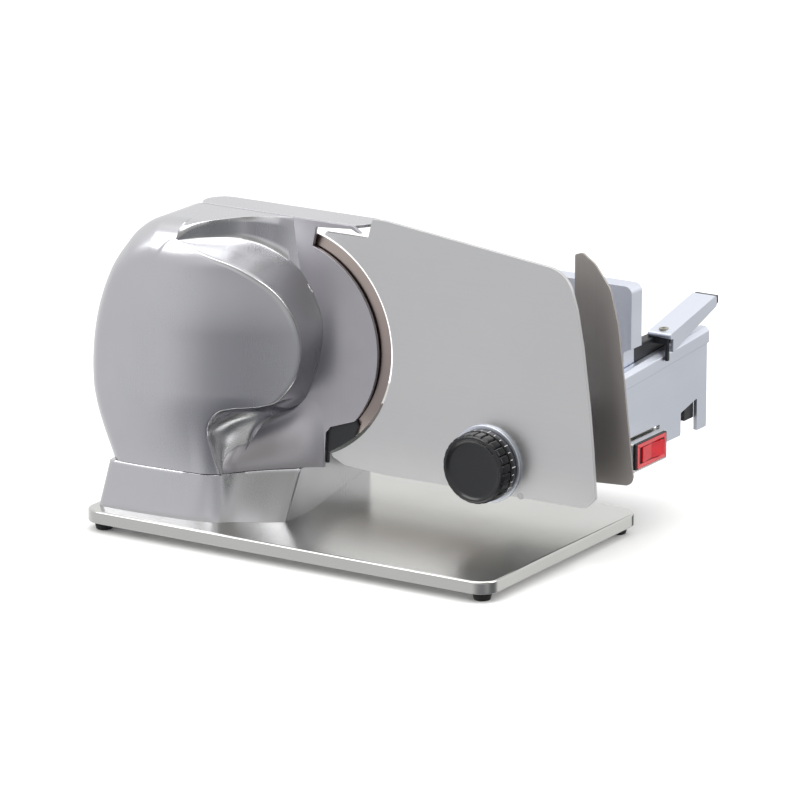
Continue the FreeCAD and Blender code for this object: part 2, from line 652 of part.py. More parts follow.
    stator = new_body("motor_stator")
    pad(stator, "XZ", -62.0, 22.0, ring(motor_centre, ("stator_radius", 21.5)))
    for side in (-1, 1):
        inner = amount("armature_radius") + 0.6
        low = motor_centre[1] + side * 22.2
        arc = [on_circle(motor_centre, inner, side * a) for a in (50, 90, 130)]
        foot = [(motor_centre[0] - 7, low), (motor_centre[0] + 7, low)]
        shoe = [Part.Arc(*[V(p[0], p[1], 0) for p in arc]),
                Part.LineSegment(V(arc[2][0], arc[2][1], 0), V(foot[0][0], foot[0][1], 0)),
                Part.LineSegment(V(foot[0][0], foot[0][1], 0), V(foot[1][0], foot[1][1], 0)),
                Part.LineSegment(V(foot[1][0], foot[1][1], 0), V(arc[0][0], arc[0][1], 0))]
        pad(stator, "XZ", -62.0, 22.0, shoe)

    coils = []
    for index, side in enumerate((-1, 1)):
        for wing in (-1, 1):
            middle = (motor_centre[0] + wing * 12.6, motor_centre[1] + side * 13.9)
            coils.append(rod("coil_%d_%d" % (index, wing), V(middle[0], -60.5, middle[1]), NEAR, 2.3, 25.0))
    group("field_coils", coils)

    bracket = new_body("motor_rear_bracket")
    pad(bracket, "XZ", -93.2, 2.4, box_outline(motor_centre[0] - 7, motor_centre[1] - 26,
                                               motor_centre[0] + 7, motor_centre[1] + 26, 3.0))
    for side in (-1, 1):
        low = motor_centre[1] + side * 23.6
        pad(bracket, "XZ", -84.1, 9.1, box_outline(motor_centre[0] - 6, low - 2, motor_centre[0] + 6, low + 2))
    round_pocket(bracket, "XZ", -92.0, 6.0, motor_centre, shaft_radius + gap)

    outer = rod("bearing_outer", V(motor_centre[0], -49.5, motor_centre[1]), NEAR, 9.0, 3.5)
    bore = rod("bearing_bore", V(motor_centre[0], -48.0, motor_centre[1]), NEAR, shaft_radius + gap, 8.0)
    bearing = doc.addObject("Part::Cut", "motor_bush")
    bearing.Base = outer
    bearing.Tool = bore
    group("bronze_bushes", bushes + [bearing])

    holders = []
    brushes = []
    for index, side in enumerate((-1, 1)):
        reach = motor_centre[1] + side * (amount("commutator_radius") + 0.25)
        start = V(motor_centre[0], -89.4, reach)
        out = V(0, 0, side)
        brushes.append(rod("brush_%d" % index, start, out, 2.0, 6.0))
        outer = rod("holder_outer_%d" % index, start + out * 1.5, out, 2.7, 9.5)
        bore = rod("holder_bore_%d" % index, start, out, 2.05, 9.5)
        cut = doc.addObject("Part::Cut", "holder_%d" % index)
        cut.Base = outer
        cut.Tool = bore
        holders.append(cut)
    group("carbon_brushes", brushes)
    group("brush_holders", holders)

    return [screw("frame_screw_%d" % index, V(x, ring_back, z), NEAR, 6.6)
            for index, (x, z) in enumerate(FRAME_SCREWS)]


# ---------------------------------------------------------------- gauge plate and adjuster
PLATE_ROD_X = [96.0, 155.0]


def build_gauge_plate():
    plate_far = size["cut_plane"]
    plate_near = plate_far - size["plate_thick"]
    corners = [(-18, 238, 1), (20, 238, 1), (24, 253.5, 3), (37, 253.2, 2), (194, 235.4, 24), (202.6, 207.5), (208, 178.5),
               (214, 133), (217, 103), (220, 65), (212, 56.2, 8), (35, 54.8), (-2, 57.2, 3), (-12, 62, 4),
               (-40, 120)]
    plate = new_body("gauge_plate")
    pad(plate, "XZ", "cut_plane", "plate_thick", outline(corners))
    round_pocket(plate, "XZ", plate_far + 1, 10.0, blade_centre, "plate_arc")
    round_pocket(plate, "XZ", plate_far + 1, 10.0, knob_centre, size["screw_radius"] + size["running_gap"])
    for x in PLATE_ROD_X:
        round_pocket(plate, "XZ", plate_far + 1, 10.0, (x, size["rod_z"]), "rod_radius")

    collar = new_body("knob_collar")
    pad(collar, "XZ", plate_near, 2.2, ring(knob_centre, (size["knob_radius"] + 2.5, size["knob_radius"] - 6)))

    rods = [rod("guide_rod_%d" % index, V(x, plate_near, size["rod_z"]), BACK, "rod_radius", 72.0)
            for index, x in enumerate(PLATE_ROD_X)]
    group("plate_guide_rods", rods)

    # the knob carries the steep adjusting screw that runs in the fixed nut
    knob_near = plate_near - 2.6 - size["knob_length"]
    knob = new_body("thickness_knob")
    round_pad(knob, "XZ", plate_near - 2.6, "knob_length", knob_centre, "knob_radius")
    dress(knob, "Fillet", 2.4, lambda item: item.BoundBox.YMax < knob_near + 0.01)
    for step in range(24):
        groove = on_circle(knob_centre, size["knob_radius"] + 0.9, 15 * step)
        round_pocket(knob, "XZ", knob_near + 11.0, 14.0, groove, 1.6)
    round_pocket(knob, "XZ", plate_near, 12.0, knob_centre, "screw_radius")

    stem = new_body("adjusting_screw")
    round_pad(stem, "XZ", 6.0, 6.0 - plate_near + 12.0, knob_centre, "screw_radius")
    round_pad(stem, "XZ", plate_near - 0.4, 2.0, knob_centre, 10.0)

    # fixed arm and nut behind the plate
    arm = new_body("plate_support_arm")
    pad(arm, "XY", 51.5, 9.0, box_outline(86, 2.0, 165, size["rail_near"] - 0.1, 1.0))
    pad(arm, "XY", 54.5, 6.0, box_outline(104, -15.5, 147, 3.0, 1.0))
    for x in PLATE_ROD_X:
        round_pocket(arm, "XZ", size["rail_near"] + 1, 90.0, (x, size["rod_z"]),
                     size["rod_radius"] + size["running_gap"])
    pocket(arm, "XY", 49.0, 13.0, box_outline(104, 26, 147, 66, 4.0))

    nut = new_body("adjuster_nut")
    pad(nut, "XZ", 6.0, 21.5, outline([(107, 60.6), (144, 60.6), (144, 66), (136, 83.5, 4), (115, 83.5, 4),
                                       (107, 66)]))
    round_pocket(nut, "XZ", 8.0, 30.0, knob_centre, size["screw_radius"] + size["running_gap"])


# ---------------------------------------------------------------- rail and switch
SWITCH_LOW = 56.0
SWITCH_TOP = 76.6
SWITCH_NEAR = 87.0
SWITCH_FAR = 134.0
ROCKER_PIVOT = (186.0, 110.5)


def build_rail():
    wall = size["rail_wall"]
    left = -150.0
    body = new_body("rail_beam")
    near, far = size["rail_near"], size["rail_far"]
    low, top = size["rail_low"], size["rail_top"]
    pad(body, "YZ", left, size["rail_end"] - left, box_outline(near, low, far, top, 2.0))
    pocket(body, "YZ", left - 1, size["rail_end"] - left + 2,
           box_outline(near + wall, low + wall, far - wall, top - wall, 1.5))
    for x in RAIL_SCREWS:
        round_pocket(body, "XY", low - 1, 5.0, (x, 98.0), 2.05)

    box = new_body("switch_housing")
    pad(box, "YZ", size["rail_end"] + 0.1, 7.9, box_outline(near, low, far, top, 2.0))
    pad(box, "YZ", size["rail_end"] - 10, 10.1,
        box_outline(near + wall + 0.2, low + wall + 0.2, far - wall - 0.2, top - wall - 0.2, 1.0))
    pocket(box, "YZ", size["rail_end"] - 12, 30.0, box_outline(93, 59.0, 128, 74.0, 1.0))

    bezel = new_body("switch_bezel")
    pad(bezel, "YZ", size["rail_end"] + 8.0, 1.6,
        box_outline(SWITCH_NEAR, SWITCH_LOW, SWITCH_FAR, SWITCH_TOP, 1.2))
    pocket(bezel, "YZ", size["rail_end"] + 5, 8.0, box_outline(94.2, 60.2, 126.8, 72.8, 0.8))

    core = new_body("switch_body")
    pad(core, "YZ", size["rail_end"] - 18, 17.0, box_outline(93.4, 59.4, 127.6, 73.6, 0.6))

    # the rocker tips about a pin across its width
    rocker = new_body("rocker_switch")
    pad(rocker, "XY", 60.6, 11.8,
        outline([(185.5, 99.0), (185.5, 122.0), (190.0, 124.8), (195.6, 124.8), (192.6, 110.5), (193.6, 96.2),
                 (190.0, 96.2)], 0.5))
    round_pad(rocker, "XY", 59.4, 14.2, ROCKER_PIVOT, 1.5)

    blank = new_body("rail_end_cap")
    pad(blank, "YZ", left - 3.1, 3.0, box_outline(near, low, far, top, 2.0))
    pad(blank, "YZ", left - 0.1, 6.0, box_outline(near + wall + 0.2, low + wall + 0.2,
                                                  far - wall - 0.2, top - wall - 0.2, 1.0))

    return [screw("rail_screw_%d" % index, V(x, 98.0, pedestal_top - 2.6), UP, 8.0)
            for index, x in enumerate(RAIL_SCREWS)]


# ---------------------------------------------------------------- carriage
WALL_NEAR = -12.0
WALL_FAR = 212.5
WALL_TOP_NEAR = 125.0
WALL_TOP_FAR = 140.7
RAIL_BAND = 13.0
GUARD_SCREWS = [(22.0, 78.0), (22.0, 100.0)]


def build_carriage():
    face = size["wall_face"]
    inner = face - size["wall_thick"]
    slot_near, slot_far = size["rail_near"] - 2, size["rail_far"] + 3
    wall = new_body("carriage_wall")
    pad(wall, "YZ", inner, "wall_thick",
        outline([(WALL_NEAR, 84.5), (8, 84.5), (8, 62), (slot_near, 62), (slot_near, 78.6), (slot_far, 78.6),
                 (slot_far, 62, 1.5), (172.5, 62, 1.5), (172.5, 80, 1), (197.5, 86, 1), (197.5, 60, 1),
                 (WALL_FAR, 60, 1), (WALL_FAR, WALL_TOP_FAR - RAIL_BAND), (WALL_NEAR, WALL_TOP_NEAR - RAIL_BAND)]))
    for place in GUARD_SCREWS:
        round_pocket(wall, "YZ", inner - 1, 8.0, place, 2.05)

    band = new_body("carriage_top_rail")
    pad(band, "YZ", inner - 3.5, 8.5,
        outline([(WALL_NEAR, WALL_TOP_NEAR - RAIL_BAND + 0.1), (WALL_FAR, WALL_TOP_FAR - RAIL_BAND + 0.1),
                 (WALL_FAR, WALL_TOP_FAR), (WALL_NEAR, WALL_TOP_NEAR)]))
    dress(band, "Chamfer", 3.2, lambda item: (item.BoundBox.XMin > inner + 4.9 and item.Length > 200
                                              and item.BoundBox.ZMax > WALL_TOP_FAR - 1))

    shelf = new_body("carriage_shelf")
    low = size["shelf_low"]
    thick = size["shelf_thick"]
    pad(shelf, "XY", "shelf_low", "shelf_thick", outline([(38, -15.5, 6), (inner - 0.1, -15.5), (inner - 0.1, 187.5),
                                                          (38, 187.5, 12)]))
    for step in range(9):
        x = 52.0 + 12.5 * step
        pad(shelf, "XY", low + thick, 0.9, outline([(x, -8), (x + 3, -8), (x + 3, 180), (x, 180)], 1.4))
    pad(shelf, "XY", low + thick, 8.0, box_outline(50, 184.5, inner - 0.1, 187.5))

    saddle = new_body("slide_saddle")
    near, far, top = size["rail_near"], size["rail_far"], size["rail_top"]
    pad(saddle, "YZ", 118.0, 60.0,
        outline([(near - 3.4, 64), (near - 0.4, 64), (near - 0.4, top + 0.4), (far + 0.4, top + 0.4), (far + 0.4, 64),
                 (far + 3.4, 64), (far + 3.4, low - 0.1), (near - 3.4, low - 0.1)]))

    guard_far = size["guard_near"] + size["guard_thick"]
    guard = new_body("thumb_guard")
    pad(guard, "XZ", guard_far, "guard_thick",
        outline([(face + 0.2, 67, 2), (233, 70, 6), (235, 77), (232.5, 98), (226.5, 150), (221, 192), (214, 219, 16),
                 (201, 236, 14), (190, 243.5, 3), (face + 0.6, 241.5, 1.5), (face + 0.6, 142), (face + 2.2, 139), (face + 2.2, 112.6),
                 (face + 0.2, 111)]))
    pad(guard, "XY", 70.0, 41.0, box_outline(face + 0.2, size["guard_near"] + 0.5, face + 2.2, 31))
    for place in GUARD_SCREWS:
        round_pocket(guard, "YZ", face, 6.0, place, 2.05)

    screws = [screw("guard_screw_%d" % index, V(face + 2.2, y, z), LEFT, 5.0)
              for index, (y, z) in enumerate(GUARD_SCREWS)]
    group("guard_screws", screws)

    # rod that the pusher slides on, held off the wall by two blocks
    x = inner - 9.0
    z = 104.0
    guide = new_body("pusher_guide_rod")
    round_pad(guide, "XZ", 203.0, 214.0, (x, z), "guide_radius")
    blocks = []
    for index, start in enumerate((-7.0, 203.0)):
        block = doc.addObject("Part::Box", "rod_block_%d" % index)
        block.Length = inner - 0.05 - (x - 6)
        block.Width = 4.6
        block.Height = 14.0
        block.Placement = FreeCAD.Placement(V(x - 6, start - 4.6, z - 7), FreeCAD.Rotation())
        cut = doc.addObject("Part::Cut", "rod_block_cut_%d" % index)
        cut.Base = block
        cut.Tool = rod("rod_block_bore_%d" % index, V(x, start + 1, z), NEAR, "guide_radius", 8.0)
        blocks.append(cut)
    bumper = doc.addObject("Part::Box", "travel_bumper")
    bumper.Length = 5.0
    bumper.Width = 14.0
    bumper.Height = 14.0
    bumper.Placement = FreeCAD.Placement(V(inner - 5.1, 183.4, 70.4), FreeCAD.Rotation())
    group("guide_rod_blocks", blocks + [bumper])
    return (x, z)


# ---------------------------------------------------------------- pusher
def build_pusher(guide):
    near = size["pusher_near"]
    far = near + size["pusher_thick"]
    bore = size["guide_radius"] + size["running_gap"]
    plate = new_body("pusher_plate")
    pad(plate, "XZ", far, "pusher_thick",
        outline([(82, 91, 6), (175.8, 91, 3), (175.8, 145), (182.4, 148), (182.4, 197, 6), (88, 197, 14)]))
    pocket(plate, "XZ", far + 1, size["pusher_thick"] - 3.0, outline([(86, 95, 4), (160, 95, 4), (160, 193, 4), (92, 193, 10)]))
    round_pocket(plate, "XZ", far + 2, 30.0, guide, bore)

    spikes = []
    for row in range(2):
        for column in range(4):
            spike = doc.addObject("Part::Cone", "spike_%d_%d" % (row, column))
            spike.Radius1 = 3.0
            spike.Radius2 = 0.4
            spike.Height = 5.0
            spike.Placement = FreeCAD.Placement(V(98 + 18 * column, near, 112 + 40 * row),
                                                FreeCAD.Rotation(UP, NEAR))
            spikes.append(spike)
    group("pusher_spikes", spikes)

    bracket = new_body("pusher_bracket")
    pad(bracket, "XZ", 165.0, 165.0 - far, box_outline(guide[0] - 5.5, 97.5, guide[0] + 5, 146.5, 1.5))
    pad(bracket, "XZ", 165.0, 23.0, box_outline(guide[0] + 2, 142.0, 188.0, 146.5, 1.0))
    pad(bracket, "XZ", 144.6, 2.6, box_outline(185.6, 129.0, 188.0, 144.0, 0.6))
    round_pocket(bracket, "XZ", 166.0, 60.0, guide, bore)

    handle = new_body("pusher_handle")
    pad(handle, "YZ", 170.5, 20.5, outline([(141, 146.6, 2), (166, 146.6), (212.5, 157.5, 1.5), (212.5, 166.5, 2),
                                            (141, 150.6, 2)]))
    pad(handle, "YZ", 188.4, 2.6, outline([(145.2, 148), (145.2, 135.5, 1), (170, 144), (212.5, 157.5, 1), (212.5, 160)]))
    handle_screw = [screw("handle_screw_0", V(180.5, 148.5, 150.6), V(0, 0, -1), 6.0)]
    round_pocket(handle, "XY", 150.6, 20.0, (180.5, 148.5), 3.8)
    round_pocket(handle, "XY", 140.0, 30.0, (180.5, 148.5), 2.05)
    round_pocket(bracket, "XY", 138.0, 12.0, (180.5, 148.5), 2.05)
    group("handle_screw", handle_screw)

    cap = new_body("handle_end_cap")
    pad(cap, "YZ", 171.0, 19.5, outline([(212.6, 158.2), (216.0, 159.4, 1), (216.0, 165.6, 1), (212.6, 165.9)]))


foot_screws = build_base()
build_pedestal()
housing_screws = build_housing()
frame_screws = build_drive()
build_gauge_plate()
rail_screws = build_rail()
group("machine_screws", foot_screws + housing_screws + frame_screws + rail_screws)
build_pusher(build_carriage())
doc.recompute()

# ---------------------------------------------------------------- proof and export
for item in doc.Objects:
    if "Invalid" in item.State or "Error" in item.State:
        raise RuntimeError("feature failed: " + item.Label)
bad = [node.Label for node in NODES if node.Shape.isNull() or not node.Shape.isValid()]
if bad:
    raise RuntimeError("bad shapes: " + ", ".join(bad))

os.makedirs("parts", exist_ok=True)
for node in NODES:
    node.Shape.exportStep("parts/" + node.Label + ".step")
print(len(NODES), "nodes")
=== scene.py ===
"""Deli meat slicer: finishes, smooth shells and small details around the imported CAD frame."""

import json
import logging
import math
from dataclasses import dataclass
from enum import Enum
from typing import Any, Callable, Sequence

import bmesh
import bpy
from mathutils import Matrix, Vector


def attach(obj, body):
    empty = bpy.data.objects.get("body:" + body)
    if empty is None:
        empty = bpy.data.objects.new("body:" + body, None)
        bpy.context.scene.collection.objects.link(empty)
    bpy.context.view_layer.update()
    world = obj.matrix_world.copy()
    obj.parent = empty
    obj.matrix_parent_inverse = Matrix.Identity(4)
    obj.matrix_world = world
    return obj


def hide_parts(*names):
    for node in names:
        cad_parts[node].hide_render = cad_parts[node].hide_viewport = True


MM = 0.001
log = logging.getLogger("slicer")
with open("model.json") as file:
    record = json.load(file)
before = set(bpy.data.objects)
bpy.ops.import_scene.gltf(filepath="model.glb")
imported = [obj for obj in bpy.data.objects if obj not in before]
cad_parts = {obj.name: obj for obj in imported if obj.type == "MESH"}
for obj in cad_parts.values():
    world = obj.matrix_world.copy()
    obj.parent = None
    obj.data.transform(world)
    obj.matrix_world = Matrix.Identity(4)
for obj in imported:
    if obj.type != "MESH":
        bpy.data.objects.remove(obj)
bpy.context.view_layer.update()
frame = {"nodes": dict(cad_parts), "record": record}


# ------------------------------------------------------------------ finishes
def linear(hex_colour: str) -> tuple[float, float, float, float]:
    """Turn an sRGB hex colour into linear RGBA.

    Args:
        hex_colour: Six hex digits, with or without a leading hash.

    Returns:
        Linear red, green, blue and an alpha of one.
    """
    digits = hex_colour.lstrip("#")
    parts = [int(digits[k:k + 2], 16) / 255 for k in (0, 2, 4)]
    straight = [c / 12.92 if c <= 0.04045 else ((c + 0.055) / 1.055) ** 2.4 for c in parts]
    return (straight[0], straight[1], straight[2], 1.0)


def add_node(tree: bpy.types.NodeTree, kind: str, settings: dict[str, Any] | None = None,
             inputs: dict[Any, Any] | None = None) -> bpy.types.Node:
    """Add one node, set its properties and fill or link its sockets.

    Args:
        tree: The node tree.
        kind: Blender's node type name.
        settings: Properties by name.
        inputs: Socket values by name or index; an output socket is linked.

    Returns:
        The new node.
    """
    node = tree.nodes.new(kind)
    for name, value in (settings or {}).items():
        setattr(node, name, value)
    for name, value in (inputs or {}).items():
        if isinstance(value, bpy.types.NodeSocket):
            tree.links.new(value, node.inputs[name])
        else:
            node.inputs[name].default_value = value
    return node


class Grain(Enum):
    """Which way a brushed finish was drawn."""

    ALONG_X = (0.012, 1.0, 1.0)
    ALONG_Y = (1.0, 0.012, 1.0)
    ALONG_Z = (1.0, 1.0, 0.012)
    NONE = (1.0, 1.0, 1.0)


@dataclass(frozen=True)
class Finish:
    """One real finish and the node material that shows it."""

    name: str
    colour: str
    shade: str
    metallic: float = 0.0
    roughness: float = 0.4
    rough_spread: float = 0.08
    ior: float = 1.5
    coat: float = 0.0
    transmission: float = 0.0
    emission: float = 0.0
    grain: Grain = Grain.NONE
    grain_mm: float = 0.5
    grain_bump: float = 0.02
    cloud_mm: float = 60.0
    cloud: float = 0.3
    turned_about: tuple[float, float] | None = None

    def build(self) -> bpy.types.Material:
        """Make the material.

        Returns:
            A node material whose colour, roughness and bump vary at the finish's own scale.
        """
        material = bpy.data.materials.new(self.name)
        material.use_nodes = True
        tree = material.node_tree
        shader = tree.nodes["Principled BSDF"]
        shader.inputs["Metallic"].default_value = self.metallic
        if self.metallic < 0.5:
            shader.inputs["IOR"].default_value = self.ior
        shader.inputs["Coat Weight"].default_value = self.coat
        shader.inputs["Coat Roughness"].default_value = 0.12
        shader.inputs["Transmission Weight"].default_value = self.transmission
        if self.emission:
            shader.inputs["Emission Color"].default_value = linear(self.colour)
            shader.inputs["Emission Strength"].default_value = self.emission
        place = self._place(tree)
        cloud = add_node(tree, "ShaderNodeTexNoise", inputs={
            "Vector": place, "Scale": 1.0 / (self.cloud_mm * MM), "Detail": 3.0, "Roughness": 0.55})
        lines = self._grain(tree, place)
        spread = add_node(tree, "ShaderNodeMapRange", inputs={
            "Value": cloud.outputs["Fac"], "From Min": 0.3, "From Max": 0.7,
            "To Min": 0.0, "To Max": self.cloud})
        part = add_node(tree, "ShaderNodeMath", {"operation": "MULTIPLY_ADD"}, {
            0: lines, 1: 0.35, 2: spread.outputs["Result"]})
        tint = add_node(tree, "ShaderNodeMix", {"data_type": "RGBA"}, {
            "Factor": part.outputs[0], 6: linear(self.colour), 7: linear(self.shade)})
        tree.links.new(tint.outputs[2], shader.inputs["Base Color"])
        rough = add_node(tree, "ShaderNodeMapRange", inputs={
            "Value": part.outputs[0], "From Min": 0.0, "From Max": 0.6,
            "To Min": self.roughness, "To Max": self.roughness + self.rough_spread})
        tree.links.new(rough.outputs["Result"], shader.inputs["Roughness"])
        bump = add_node(tree, "ShaderNodeBump", inputs={
            "Height": lines, "Strength": 1.0, "Distance": self.grain_bump * MM})
        tree.links.new(bump.outputs["Normal"], shader.inputs["Normal"])
        return material

    def _place(self, tree: bpy.types.NodeTree) -> bpy.types.NodeSocket:
        """Object coordinates in metres."""
        return add_node(tree, "ShaderNodeTexCoord").outputs["Object"]

    def _grain(self, tree: bpy.types.NodeTree, place: bpy.types.NodeSocket) -> bpy.types.NodeSocket:
        """Fine pattern of the finish: drawn lines, turned rings or an even grit.

        Args:
            tree: The node tree.
            place: Object coordinates.

        Returns:
            A value from zero to one.
        """
        scale = 1.0 / (self.grain_mm * MM)
        if self.turned_about is not None:
            x, z = self.turned_about
            shift = add_node(tree, "ShaderNodeVectorMath", {"operation": "MULTIPLY_ADD"}, {
                0: place, 1: (1.0, 0.0, 1.0), 2: (-x * MM, 0.0, -z * MM)})
            reach = add_node(tree, "ShaderNodeVectorMath", {"operation": "LENGTH"}, {0: shift.outputs[0]})
            rings = add_node(tree, "ShaderNodeTexNoise", {"noise_dimensions": "1D"}, {
                "W": reach.outputs["Value"], "Scale": scale, "Detail": 4.0})
            return rings.outputs["Fac"]
        stretched = add_node(tree, "ShaderNodeVectorMath", {"operation": "MULTIPLY"}, {
            0: place, 1: self.grain.value})
        noise = add_node(tree, "ShaderNodeTexNoise", inputs={
            "Vector": stretched.outputs[0], "Scale": scale, "Detail": 3.0, "Roughness": 0.6})
        return noise.outputs["Fac"]


# Grains under about 0.5 mm don't show at this size, so each is drawn as coarse as it needs to.
POLISHED_STAINLESS = Finish("polished_stainless_304", "#CDCDD0", "#C3C3C7", metallic=1.0, roughness=0.20,
                            rough_spread=0.08, grain=Grain.ALONG_Z, grain_mm=1.1, grain_bump=0.004,
                            cloud_mm=70, cloud=0.5)
BRUSHED_STAINLESS = Finish("brushed_stainless_304", "#D2D2D2", "#C8C8C9", metallic=1.0, roughness=0.30,
                           rough_spread=0.10, grain=Grain.ALONG_X, grain_mm=0.9, grain_bump=0.012,
                           cloud_mm=90, cloud=0.25)
GUARD_STAINLESS = Finish("linished_stainless_guard", "#B4AFAB", "#A29D9A", metallic=1.0, roughness=0.42,
                         rough_spread=0.10, grain=Grain.ALONG_Z, grain_mm=0.9, grain_bump=0.015,
                         cloud_mm=60, cloud=0.4)
SATIN_ALUMINIUM = Finish("satin_brushed_aluminium", "#CFCFCC", "#C5C5C1", metallic=1.0, roughness=0.14,
                         rough_spread=0.10, grain=Grain.ALONG_X, grain_mm=0.9, grain_bump=0.008,
                         cloud_mm=120, cloud=0.35)
BRIGHT_ALUMINIUM = Finish("bright_anodised_aluminium", "#DDE1EA", "#CDD2DE", metallic=1.0, roughness=0.36,
                          rough_spread=0.08, grain=Grain.ALONG_Y, grain_mm=0.8, grain_bump=0.008,
                          cloud_mm=80, cloud=0.25)
CAST_ALUMINIUM = Finish("die_cast_aluminium", "#A9A9A7", "#8E8E8C", metallic=1.0, roughness=0.52,
                        rough_spread=0.15, grain_mm=0.9, grain_bump=0.06, cloud_mm=15, cloud=0.5)
DEFLECTOR_STAINLESS = Finish("satin_stainless_deflector", "#B6B4B8", "#A8A6AB", metallic=1.0, roughness=0.27,
                             rough_spread=0.10, grain=Grain.ALONG_Z, grain_mm=0.9, grain_bump=0.006,
                             cloud_mm=60, cloud=0.5)
BLADE_STEEL = Finish("ground_blade_steel", "#B9ACA6", "#A39690", metallic=1.0, roughness=0.24,
                     rough_spread=0.10, grain_mm=0.7, grain_bump=0.010, cloud_mm=60, cloud=0.4,
                     turned_about=(-50.0, 149.0))
TURNED_STEEL = Finish("turned_bright_steel", "#C6C6C6", "#B2B2B2", metallic=1.0, roughness=0.22,
                      rough_spread=0.08, grain=Grain.NONE, grain_mm=0.6, grain_bump=0.006, cloud=0.2)
ZINC_STEEL = Finish("zinc_plated_steel", "#B9B8AE", "#A3A08F", metallic=1.0, roughness=0.34,
                    rough_spread=0.12, grain_mm=0.7, grain_bump=0.01, cloud_mm=6, cloud=0.6)
BLACK_ABS = Finish("moulded_black_abs", "#15161A", "#1E2026", roughness=0.38, rough_spread=0.12, ior=1.54,
                   grain_mm=0.6, grain_bump=0.035, cloud_mm=20, cloud=0.5)
KNOB_ABS = Finish("polished_black_abs", "#0B0C0F", "#101217", roughness=0.18, rough_spread=0.08, ior=1.54,
                  grain_mm=0.6, grain_bump=0.006, cloud_mm=20, cloud=0.5)
RUBBER = Finish("moulded_rubber", "#111112", "#1B1B1C", roughness=0.72, rough_spread=0.12, ior=1.52,
                grain_mm=0.6, grain_bump=0.05, cloud_mm=8, cloud=0.6)
ACETAL = Finish("natural_acetal", "#E4E1D6", "#D6D2C4", roughness=0.36, rough_spread=0.10, ior=1.48,
                grain_mm=0.8, grain_bump=0.01, cloud_mm=12, cloud=0.4)
# The small emission on the red switch plastic is a painted glow that brightens the red; no lamp lights the switch.
RED_SWITCH = Finish("red_polycarbonate_painted_glow", "#C80A1C", "#8E0614", roughness=0.16, rough_spread=0.06,
                    ior=1.585, coat=0.5, emission=0.12, grain_mm=1.2, grain_bump=0.004, cloud_mm=6, cloud=0.5)
BRONZE = Finish("sintered_bronze", "#A9824C", "#8B6838", metallic=1.0, roughness=0.42, grain_mm=0.5,
                grain_bump=0.03, cloud_mm=6, cloud=0.5)
COPPER = Finish("enamelled_copper_wire", "#B0633C", "#8C4626", metallic=1.0, roughness=0.30, coat=0.4,
                grain=Grain.ALONG_Y, grain_mm=0.7, grain_bump=0.08, cloud_mm=8, cloud=0.4)
LAMINATION = Finish("laminated_electrical_steel", "#6A6C70", "#4B4D50", metallic=1.0, roughness=0.46,
                    grain_mm=0.6, grain_bump=0.03, cloud_mm=10, cloud=0.5)
CARBON = Finish("pressed_carbon", "#1A1A1B", "#262627", roughness=0.6, grain_mm=0.5, grain_bump=0.03,
                cloud_mm=3, cloud=0.5)
WHITE_PAINT = Finish("printed_white_ink", "#E6E6E4", "#D4D4D2", roughness=0.5, grain_mm=0.5,
                     grain_bump=0.004, cloud_mm=2, cloud=0.3)

SLOT_FINISH: dict[str, Finish] = {
    "satin_aluminium": SATIN_ALUMINIUM, "brushed_stainless": BRUSHED_STAINLESS,
    "polished_stainless": POLISHED_STAINLESS, "blade_steel": TURNED_STEEL,
    "cast_aluminium": CAST_ALUMINIUM, "bright_aluminium": BRIGHT_ALUMINIUM,
    "zinc_screw_steel": ZINC_STEEL, "black_plastic": BLACK_ABS, "acetal": ACETAL,
    "red_switch_plastic": RED_SWITCH, "rubber": RUBBER, "bronze": BRONZE, "copper": COPPER,
    "electrical_steel": LAMINATION, "carbon": CARBON,
}
NODE_FINISH: dict[str, Finish] = {
    "blade": BLADE_STEEL, "blade_lock_screw": BLADE_STEEL, "thumb_guard": GUARD_STAINLESS,
    "deflector_plate": DEFLECTOR_STAINLESS,
}
_made: dict[str, bpy.types.Material] = {}


def material_of(finish: Finish) -> bpy.types.Material:
    """The one material of a finish, made when first asked for."""
    if finish.name not in _made:
        _made[finish.name] = finish.build()
    return _made[finish.name]


# ------------------------------------------------------------------ mesh tools
def body_of_node(node: str) -> str:
    """The CAD body that a node belongs to."""
    bodies = frame["record"]["behaviour"]["bodies"]
    return next(name for name, nodes in bodies.items() if node in nodes)


def slot_of_node(node: str) -> str:
    """The record's material slot of a node."""
    return next(row["material_slot"] for row in frame["record"]["subparts"] if row["node"] == node)


def make_piece(name: str, points: Sequence[Sequence[float]], faces: Sequence[Sequence[int]],
               finish: Finish, body: str, smooth_degrees: float = 35.0) -> bpy.types.Object:
    """Make one piece from points in millimetres and put it on its body.

    Args:
        name: Piece name.
        points: Points in the CAD frame, in millimetres.
        faces: Faces as point indices.
        finish: Its finish.
        body: The CAD body that it rides on.
        smooth_degrees: Edges flatter than this shade smooth.

    Returns:
        The new object.
    """
    mesh = bpy.data.meshes.new(name)
    mesh.from_pydata([Vector(p) * MM for p in points], [], [list(f) for f in faces])
    return dress_mesh(name, mesh, finish, body, smooth_degrees)


def dress_mesh(name: str, mesh: bpy.types.Mesh, finish: Finish, body: str,
               smooth_degrees: float = 35.0) -> bpy.types.Object:
    """Clean a mesh, shade it, give it a finish and ride it on its body."""
    work = bmesh.new()
    work.from_mesh(mesh)
    bmesh.ops.remove_doubles(work, verts=work.verts, dist=1e-6)
    bmesh.ops.recalc_face_normals(work, faces=work.faces)
    for edge in work.edges:
        sharp = len(edge.link_faces) != 2 or edge.calc_face_angle(0.0) > math.radians(smooth_degrees)
        edge.smooth = not sharp
    for face in work.faces:
        face.smooth = True
    work.to_mesh(mesh)
    work.free()
    mesh.materials.clear()
    mesh.materials.append(material_of(finish))
    piece = bpy.data.objects.new(name, mesh)
    bpy.context.scene.collection.objects.link(piece)
    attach(piece, body)
    return piece


